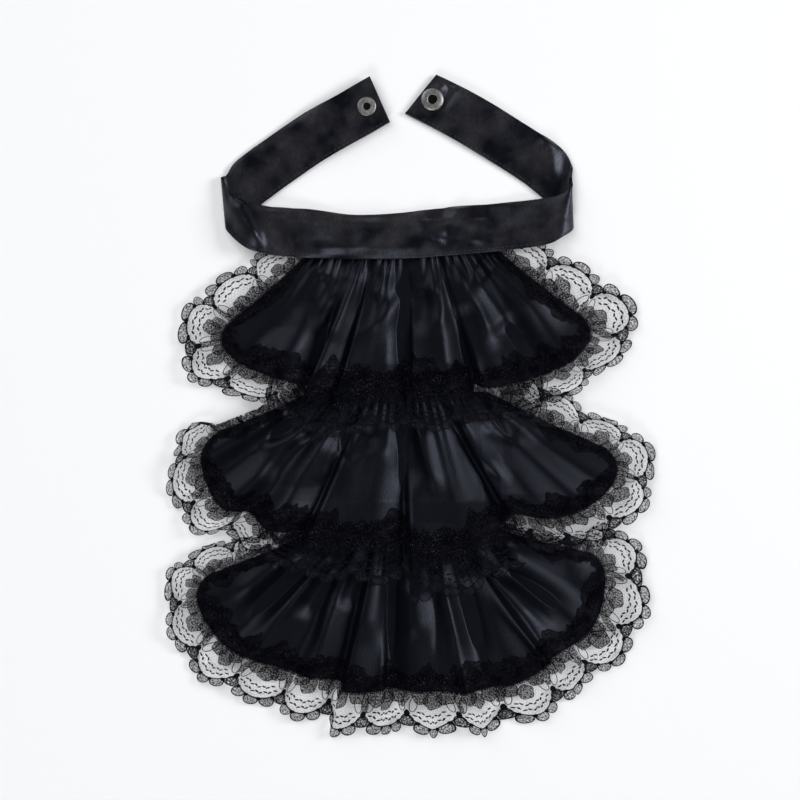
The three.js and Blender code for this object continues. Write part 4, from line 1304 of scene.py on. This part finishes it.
@dataclass(frozen=True)
class Snap:
    """One half of the snap, turned from a profile of (radius, height over the strap) points."""

    node: str
    ring_height: float
    profile: tuple[Pair, ...]
    hollow: tuple[Pair, ...]
    ribs: int
    ring: Pair
    springs: tuple[tuple[Pair, ...], ...] = ()

    def centre(self) -> Triple:
        """Middle of the snap on the strap's upper face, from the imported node."""
        low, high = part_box(self.node)
        return (low.x + high.x) / 2 / MM, (low.y + high.y) / 2 / MM, high.z / MM - self.ring_height

    def pierces(self, points: Array) -> Array:
        """Whether points of the strap, in metres, lie in the way of the snap's post."""
        x, y, _ = self.centre()
        return np.hypot(points[:, 0] / MM - x, points[:, 1] / MM - y) < SNAP_HOLE

    @staticmethod
    def turned(profile: tuple[Pair, ...]) -> BMesh:
        """A profile of (radius, height) points turned once round the upright axis."""
        bm = bmesh.new()
        tip = bmesh.ops.create_vert(bm, co=(profile[0][0], 0, profile[0][1]))["vert"]
        for radius, height in profile[1:]:
            tip = bmesh.ops.extrude_vert_indiv(bm, verts=tip)["verts"]
            tip[0].co = (radius, 0, height)
        bmesh.ops.spin(
            bm, geom=bm.verts[:] + bm.edges[:], cent=(0, 0, 0), axis=(0, 0, 1), dvec=(0, 0, 0),
            angle=2 * math.pi, steps=112, use_merge=True, use_duplicate=False,
        )
        bmesh.ops.remove_doubles(bm, verts=bm.verts, dist=0.001)
        bmesh.ops.recalc_face_normals(bm, faces=bm.faces)
        return bm

    def make(self, shop: Workshop, finishes: Finishes) -> None:
        """Makes the snap half."""
        bm = self.turned(self.profile)
        for vert in bm.verts:
            radius = math.hypot(vert.co.x, vert.co.y)
            if self.ribs and vert.co.z > 0.5 and self.ring[0] < radius < self.ring[1]:
                turn = math.atan2(vert.co.y, vert.co.x)
                vert.co.z -= SNAP_RIB * (0.5 + 0.5 * math.cos(self.ribs * turn))
        centre = np.array(self.centre()) - np.array([shop.shift.x, shop.shift.y, shop.shift.z])

        def place(pattern: Array) -> Array:
            """The snap's placed points."""
            return pattern + centre

        stands_for = (self.node,)
        shop.piece(f"{self.node}_body", bm, place, finishes.metal, Slot.METAL, stands_for)
        # A near-black disc in the middle of the snap half is painted shade in its hole
        shade = self.turned(self.hollow)
        shop.piece(f"{self.node}_hollow", shade, place, finishes.hole_shade, Slot.METAL, stands_for)
        # The springs in the socket's hole get the same near-black painted shade colour
        if self.springs:
            wires = bmesh.new()
            for spring in self.springs:
                share = np.linspace(0, 2, 9)
                path = np.array([curved(np.array(axis), share) for axis in zip(*spring)]).T
                LaceEdging.strand_along(wires, path, SNAP_WIRE, SNAP_WIRE_HEIGHT)
            shop.piece(
                f"{self.node}_spring", wires, place, finishes.hole_shade, Slot.METAL, stands_for,
            )


SOCKET_PROFILE = (
    (0.0, 0.3), (2.2, 0.3), (2.42, 0.5), (2.48, 1.1), (2.7, 1.3), (3.1, 1.39), (4.0, 1.38),
    (4.9, 1.26), (5.6, 1.03), (6.05, 0.72), (6.24, 0.4), (6.22, 0.12), (6.05, 0.0), (2.9, 0.0),
    (2.9, -2.2), (5.3, -2.2), (5.55, -2.3), (5.6, -2.6), (5.5, -2.92), (5.3, -3.0), (0.0, -3.0),
)
STUD_PROFILE = (
    (0.0, 0.15), (1.7, 0.15), (1.88, 0.3), (1.94, 0.62), (2.15, 0.82), (2.5, 0.88), (2.9, 0.84),
    (3.5, 0.82), (4.1, 0.8), (4.6, 0.74), (4.95, 0.6), (5.2, 0.38), (5.23, 0.12), (5.05, 0.0),
    (2.9, 0.0), (2.9, -2.2), (4.7, -2.2), (4.95, -2.3), (5.0, -2.6), (4.9, -2.95), (4.7, -3.0),
    (1.68, -3.0), (1.72, -3.5), (2.02, -4.1), (2.1, -4.5), (2.0, -4.9), (1.75, -5.15), (1.4, -5.2),
    (0.0, -5.2),
)
# Profiles of the near-black discs that are painted shade in the snaps' holes
SOCKET_HOLLOW = (
    (0.0, 0.42), (2.1, 0.42), (2.36, 0.6), (2.42, 1.12), (2.6, 1.34), (2.66, 1.2), (2.6, 0.2),
    (0.0, 0.2),
)
STUD_HOLLOW = (
    (0.0, 0.24), (1.6, 0.24), (1.8, 0.4), (1.88, 0.66), (2.04, 0.8), (2.1, 0.66), (2.0, 0.1),
    (0.0, 0.1),
)
SNAPS = (
    Snap("snap_socket", 1.4, SOCKET_PROFILE, SOCKET_HOLLOW, 0, (0, 0), (
        ((-1.2, 2.0), (-0.7, 0.0), (-1.1, -2.0)), ((1.2, 2.0), (0.7, 0.0), (1.1, -2.0)),
    )),
    Snap("snap_stud", 0.9, STUD_PROFILE, STUD_HOLLOW, 28, (2.6, 4.8)),
)


@dataclass
class NeckBand:
    """The band: a doubled satin ribbon laid in a loop, with its front over the top header."""

    pile: Pile
    roll_height: float = 6.5
    arch_height: float = 4.2
    columns: int = 460
    rows: int = 32
    wall: float = 1.4
    stitch_pitch: float = 2.7
    stitch_length: float = 1.7
    stitch_radius: float = 0.2
    stitch_inset: float = 1.6
    stitch_start: float = 6.0
    stroke_share: float = 1.5
    clearance: float = 0.05
    softness: float = 0.3
    edge_radius: float = 0.45
    seed: int = 71

    def __post_init__(self) -> None:
        """Splits the sections into columns."""
        self.column = columns(BAND_SECTIONS)
        self.last = len(BAND_SECTIONS) - 1
        self.noise = Noise(self.seed)
        self.steps = np.linspace(0, self.last, 1200)
        self.lengths = distances(self.at(self.steps, self.steps * 0 + 0.5))
        self.length = float(self.lengths[-1])

    def end_lift(self, place: Array) -> Array:
        """How far a strap end is raised by the snap half under it."""
        socket = SNAP_GAP + SNAP_PLATE
        stud_end = 1 - smooth((place - 1) / 2)
        socket_end = 1 - smooth((self.last - place - 1) / 2)
        return (socket + STUD_LENGTH) * stud_end + socket * socket_end

    def at(self, place: Array, share: Array) -> Array:
        """Points of the band's middle surface, shares of the way across it."""
        column = self.column
        arch = self.arch_height * np.maximum(curved(column["arch"], place), 0)
        chord = BAND_WIDTH * (1 - 8 / 3 * (arch / BAND_WIDTH) ** 2)
        bearing = np.radians(curved(column["bearing"], place))
        x = curved(column["x"], place) * LOOP_HALF_WIDTH + np.cos(bearing) * chord * share
        y = curved(column["y"], place) * LOOP_HEIGHT + np.sin(bearing) * chord * share
        level = np.maximum(curved(column["level"], place), 0) * self.roll_height
        cover = self.pile.at(x, y)
        seat = cover + np.minimum(cover, LAYER_GAP)
        z = BAND_WALL / 2 + seat + level + self.end_lift(place) + arch * 4 * share * (1 - share)
        return np.stack([x, y, z], axis=1)

    def creases(self, run: Array, share: Array) -> Array:
        """Soft creases and unevenness of the ribbon, in millimetres."""
        noise = self.noise.at
        across = share * BAND_WIDTH
        soft = noise(run / 22, across / 18) * 0.8
        small = noise(run / 8 + 12, across / 9 + 5) * 0.28
        flat_edges = smooth(share / 0.08) * smooth((1 - share) / 0.08)
        return (soft + small) * flat_edges

    def laid(self, run: Array, across: Array) -> Array:
        """Points of the finished band, distances along and across it."""
        place = np.interp(run, self.lengths, self.steps)
        share = across / BAND_WIDTH
        points = self.at(place, share)
        inside = smooth(share / 0.05) * smooth((1 - share) / 0.05)
        strokes = pressed(BAND_STROKES, points[:, 0], points[:, 1])
        points[:, 2] += self.creases(run, share) + self.stroke_share * strokes * inside
        floor = self.wall / 2 + self.clearance
        above = points[:, 2] - floor
        points[:, 2] = floor + (above + np.hypot(above, self.softness)) / 2
        return points

    def stitches(self, shop: Workshop, finishes: Finishes) -> bpy.types.Object:
        """Row of stitches along the band's lower edge."""
        bm = bmesh.new()
        bmesh.ops.create_uvsphere(bm, u_segments=8, v_segments=6, radius=self.stitch_radius)
        stretch = self.stitch_length / self.stitch_radius / 2
        first = (self.stitch_start, self.stitch_inset, self.wall / 2 + 0.08)
        bmesh.ops.scale(bm, verts=bm.verts, vec=(stretch, 1, 1))
        bmesh.ops.translate(bm, verts=bm.verts, vec=first)
        count = int((self.length - 2 * self.stitch_start) / self.stitch_pitch)
        copied(bm, [(self.stitch_pitch * i, 0, 0) for i in range(1, count)])

        def shape(pattern: Array) -> Array:
            """The stitches' placed points."""
            points = self.laid(pattern[:, 0], pattern[:, 1])
            points[:, 2] += pattern[:, 2]
            return points

        return shop.piece("band_stitches", bm, shape, finishes.stitch, Slot.SATIN, ("neck_band",))

    def ribbon(self, shop: Workshop, finishes: Finishes) -> bpy.types.Object:
        """The ribbon itself."""
        def shape(pattern: Array) -> Array:
            """The ribbon's placed points."""
            return self.laid(pattern[:, 0] * self.length, pattern[:, 1] * BAND_WIDTH)

        def flat(pattern: Array) -> Array:
            """The ribbon's points, laid straight."""
            return pattern * np.array([self.length, BAND_WIDTH, 1.0])

        bm = shop.grid(self.columns, self.rows)
        places = shop.shift.place(shape(shop.coords(bm)))
        bm.verts.index_update()
        holes = np.any([snap.pierces(places) for snap in SNAPS], axis=0)
        pierced = [f for f in bm.faces if any(holes[v.index] for v in f.verts)]
        bmesh.ops.delete(bm, geom=pierced, context="FACES")
        piece = shop.piece(
            "band_ribbon", bm, shape, finishes.ribbon, Slot.SATIN, ("neck_band",), flat,
        )
        shop.thicken(piece, self.wall)
        rounding = piece.modifiers.new("Turned edge", "BEVEL")
        rounding.width = self.edge_radius * MM
        rounding.segments = 2
        rounding.limit_method = "ANGLE"
        rounding.angle_limit = math.radians(60)
        return piece


@dataclass(frozen=True)
class Carrier:
    """Plain cloth panel that the headers are sewn to."""

    wall: float = 0.6

    def panel(self, shop: Workshop, finishes: Finishes) -> bpy.types.Object:
        """The panel."""
        length = CARRIER_TUCK + HEADER_DROPS["bottom"] + CARRIER_TAIL

        def flat(pattern: Array) -> Array:
            """The panel's points."""
            return np.stack([
                (pattern[:, 0] - 0.5) * CARRIER_WIDTH, CARRIER_TUCK - (1 - pattern[:, 1]) * length,
                pattern[:, 2] + CARRIER_WALL / 2,
            ], axis=1)

        piece = shop.piece(
            "carrier_cloth", shop.grid(60, 110), flat, finishes.satin, Slot.SATIN,
            ("carrier_panel",), flat,
        )
        shop.thicken(piece, self.wall)
        return piece


@dataclass(frozen=True)
class Studio:
    """Pale floor, soft lights and a camera straight above."""

    shift: Shift
    middle_px: float = 400.0
    height_mm: float = 1150.0
    width_mm: float = 440.0
    level_mm: float = 8.0

    def floor(self) -> None:
        """The floor."""
        mesh = bpy.data.meshes.new("floor")
        bm = bmesh.new()
        bmesh.ops.create_grid(bm, x_segments=1, y_segments=1, size=3.0)
        bmesh.ops.translate(bm, verts=bm.verts, vec=(0, 0, -0.0004))
        bm.to_mesh(mesh)
        bm.free()
        mesh.materials.append(FloorFinish().material())
        floor = bpy.data.objects.new("floor", mesh)
        bpy.context.scene.collection.objects.link(floor)

    def camera(self) -> None:
        """The camera."""
        data = bpy.data.cameras.new("camera")
        data.sensor_width = 36.0
        data.lens = 36.0 * self.height_mm / self.width_mm
        camera = bpy.data.objects.new("camera", data)
        x = (self.middle_px - PHOTO_ORIGIN[0]) * PHOTO_SCALE + self.shift.x
        y = (PHOTO_ORIGIN[1] - self.middle_px) * PHOTO_SCALE + self.shift.y
        camera.location = (x * MM, y * MM, (self.height_mm + self.level_mm) * MM)
        bpy.context.scene.collection.objects.link(camera)
        bpy.context.scene.camera = camera

    def light(
        self, name: str, spot: Triple, size: float, power: float, mirrored: bool = True,
    ) -> None:
        """A soft square light that faces the object, seen in its gloss where it is mirrored."""
        data = bpy.data.lights.new(name, "AREA")
        data.shape = "SQUARE"
        data.size = size
        data.energy = power
        lamp = bpy.data.objects.new(name, data)
        lamp.location = spot
        lamp.visible_glossy = mirrored
        lamp.rotation_mode = "QUATERNION"
        lamp.rotation_quaternion = (-Vector(spot)).to_track_quat("-Z", "Y")
        bpy.context.scene.collection.objects.link(lamp)

    def lights(self) -> None:
        """Every light and the surroundings."""
        self.light("key", (-1.5, 1.5, 1.3), 1.7, 15.0)
        self.light("fill", (1.6, 0.3, 1.15), 0.8, 21.0)
        self.light("front", (-0.5, -1.6, 1.2), 0.7, 12.0)
        self.light("overhead", (-0.4, 0.4, 2.0), 2.0, 28.7, mirrored=False)
        world = bpy.data.worlds.new("surroundings")
        world.use_nodes = True
        shade = world.node_tree.nodes["Background"]
        shade.inputs["Color"].default_value = (0.9, 0.93, 1.0, 1.0)
        shade.inputs["Strength"].default_value = 0.015
        bpy.context.scene.world = world
        bpy.context.scene.view_settings.view_transform = "Standard"


def main() -> None:
    """Builds the jabot and its studio."""
    logging.basicConfig(level=logging.INFO, format="%(name)s: %(message)s")
    shop = Workshop()
    finishes = Finishes()
    studio = Studio(shop.shift)
    studio.floor()
    studio.camera()
    studio.lights()
    pile = Pile()
    carrier = Carrier().panel(shop, finishes)
    side = CARRIER_WIDTH / 2
    x, y = spread_over((-side, side + 0.1), (-HEADER_DROPS["bottom"] - CARRIER_TAIL, CARRIER_TUCK))
    pile.add(np.stack([x, y, x * 0 + CARRIER_WALL / 2], axis=1), CARRIER_WALL)
    # Fall, spread, header, cut, middles of the header and the hem, and rise of the header
    forms = (
        (Tier.BOTTOM, 90.2, 113.0, 45.4, 86.0, 0.08, 0.0, 0.0),
        (Tier.MIDDLE, 90.2, 115.2, 48.4, 84.0, 0.02, 0.06, 0.0),
        (Tier.TOP, 77.0, 101.8, 50.6, 70.0, 0.02, 0.03, 4.4),
    )
    tables = (
        (BOTTOM_FOLDS, BOTTOM_LIE, BOTTOM_STROKES), (MIDDLE_FOLDS, MIDDLE_LIE, MIDDLE_STROKES),
        (TOP_FOLDS, TOP_LIE, TOP_STROKES),
    )
    for sizes, places, seed in zip(forms, tables, (11, 23, 37)):
        ruffle = Ruffle(*sizes, *places, pile=pile, seed=seed)
        satin = ruffle.satin(shop, finishes)
        lace = LaceEdging(ruffle).make(shop, finishes)
        # The flat area, 0.83 of the plain rectangle, is assumed and not measured
        ruffle.cut * MM
        0.83 * ruffle.width * ruffle.cut * MM * MM
        ruffle.settle()
    band = NeckBand(pile)
    ribbon = band.ribbon(shop, finishes)
    band.stitches(shop, finishes)
    for snap in SNAPS:
        snap.make(shop, finishes)


if __name__ == "__main__":
    main()
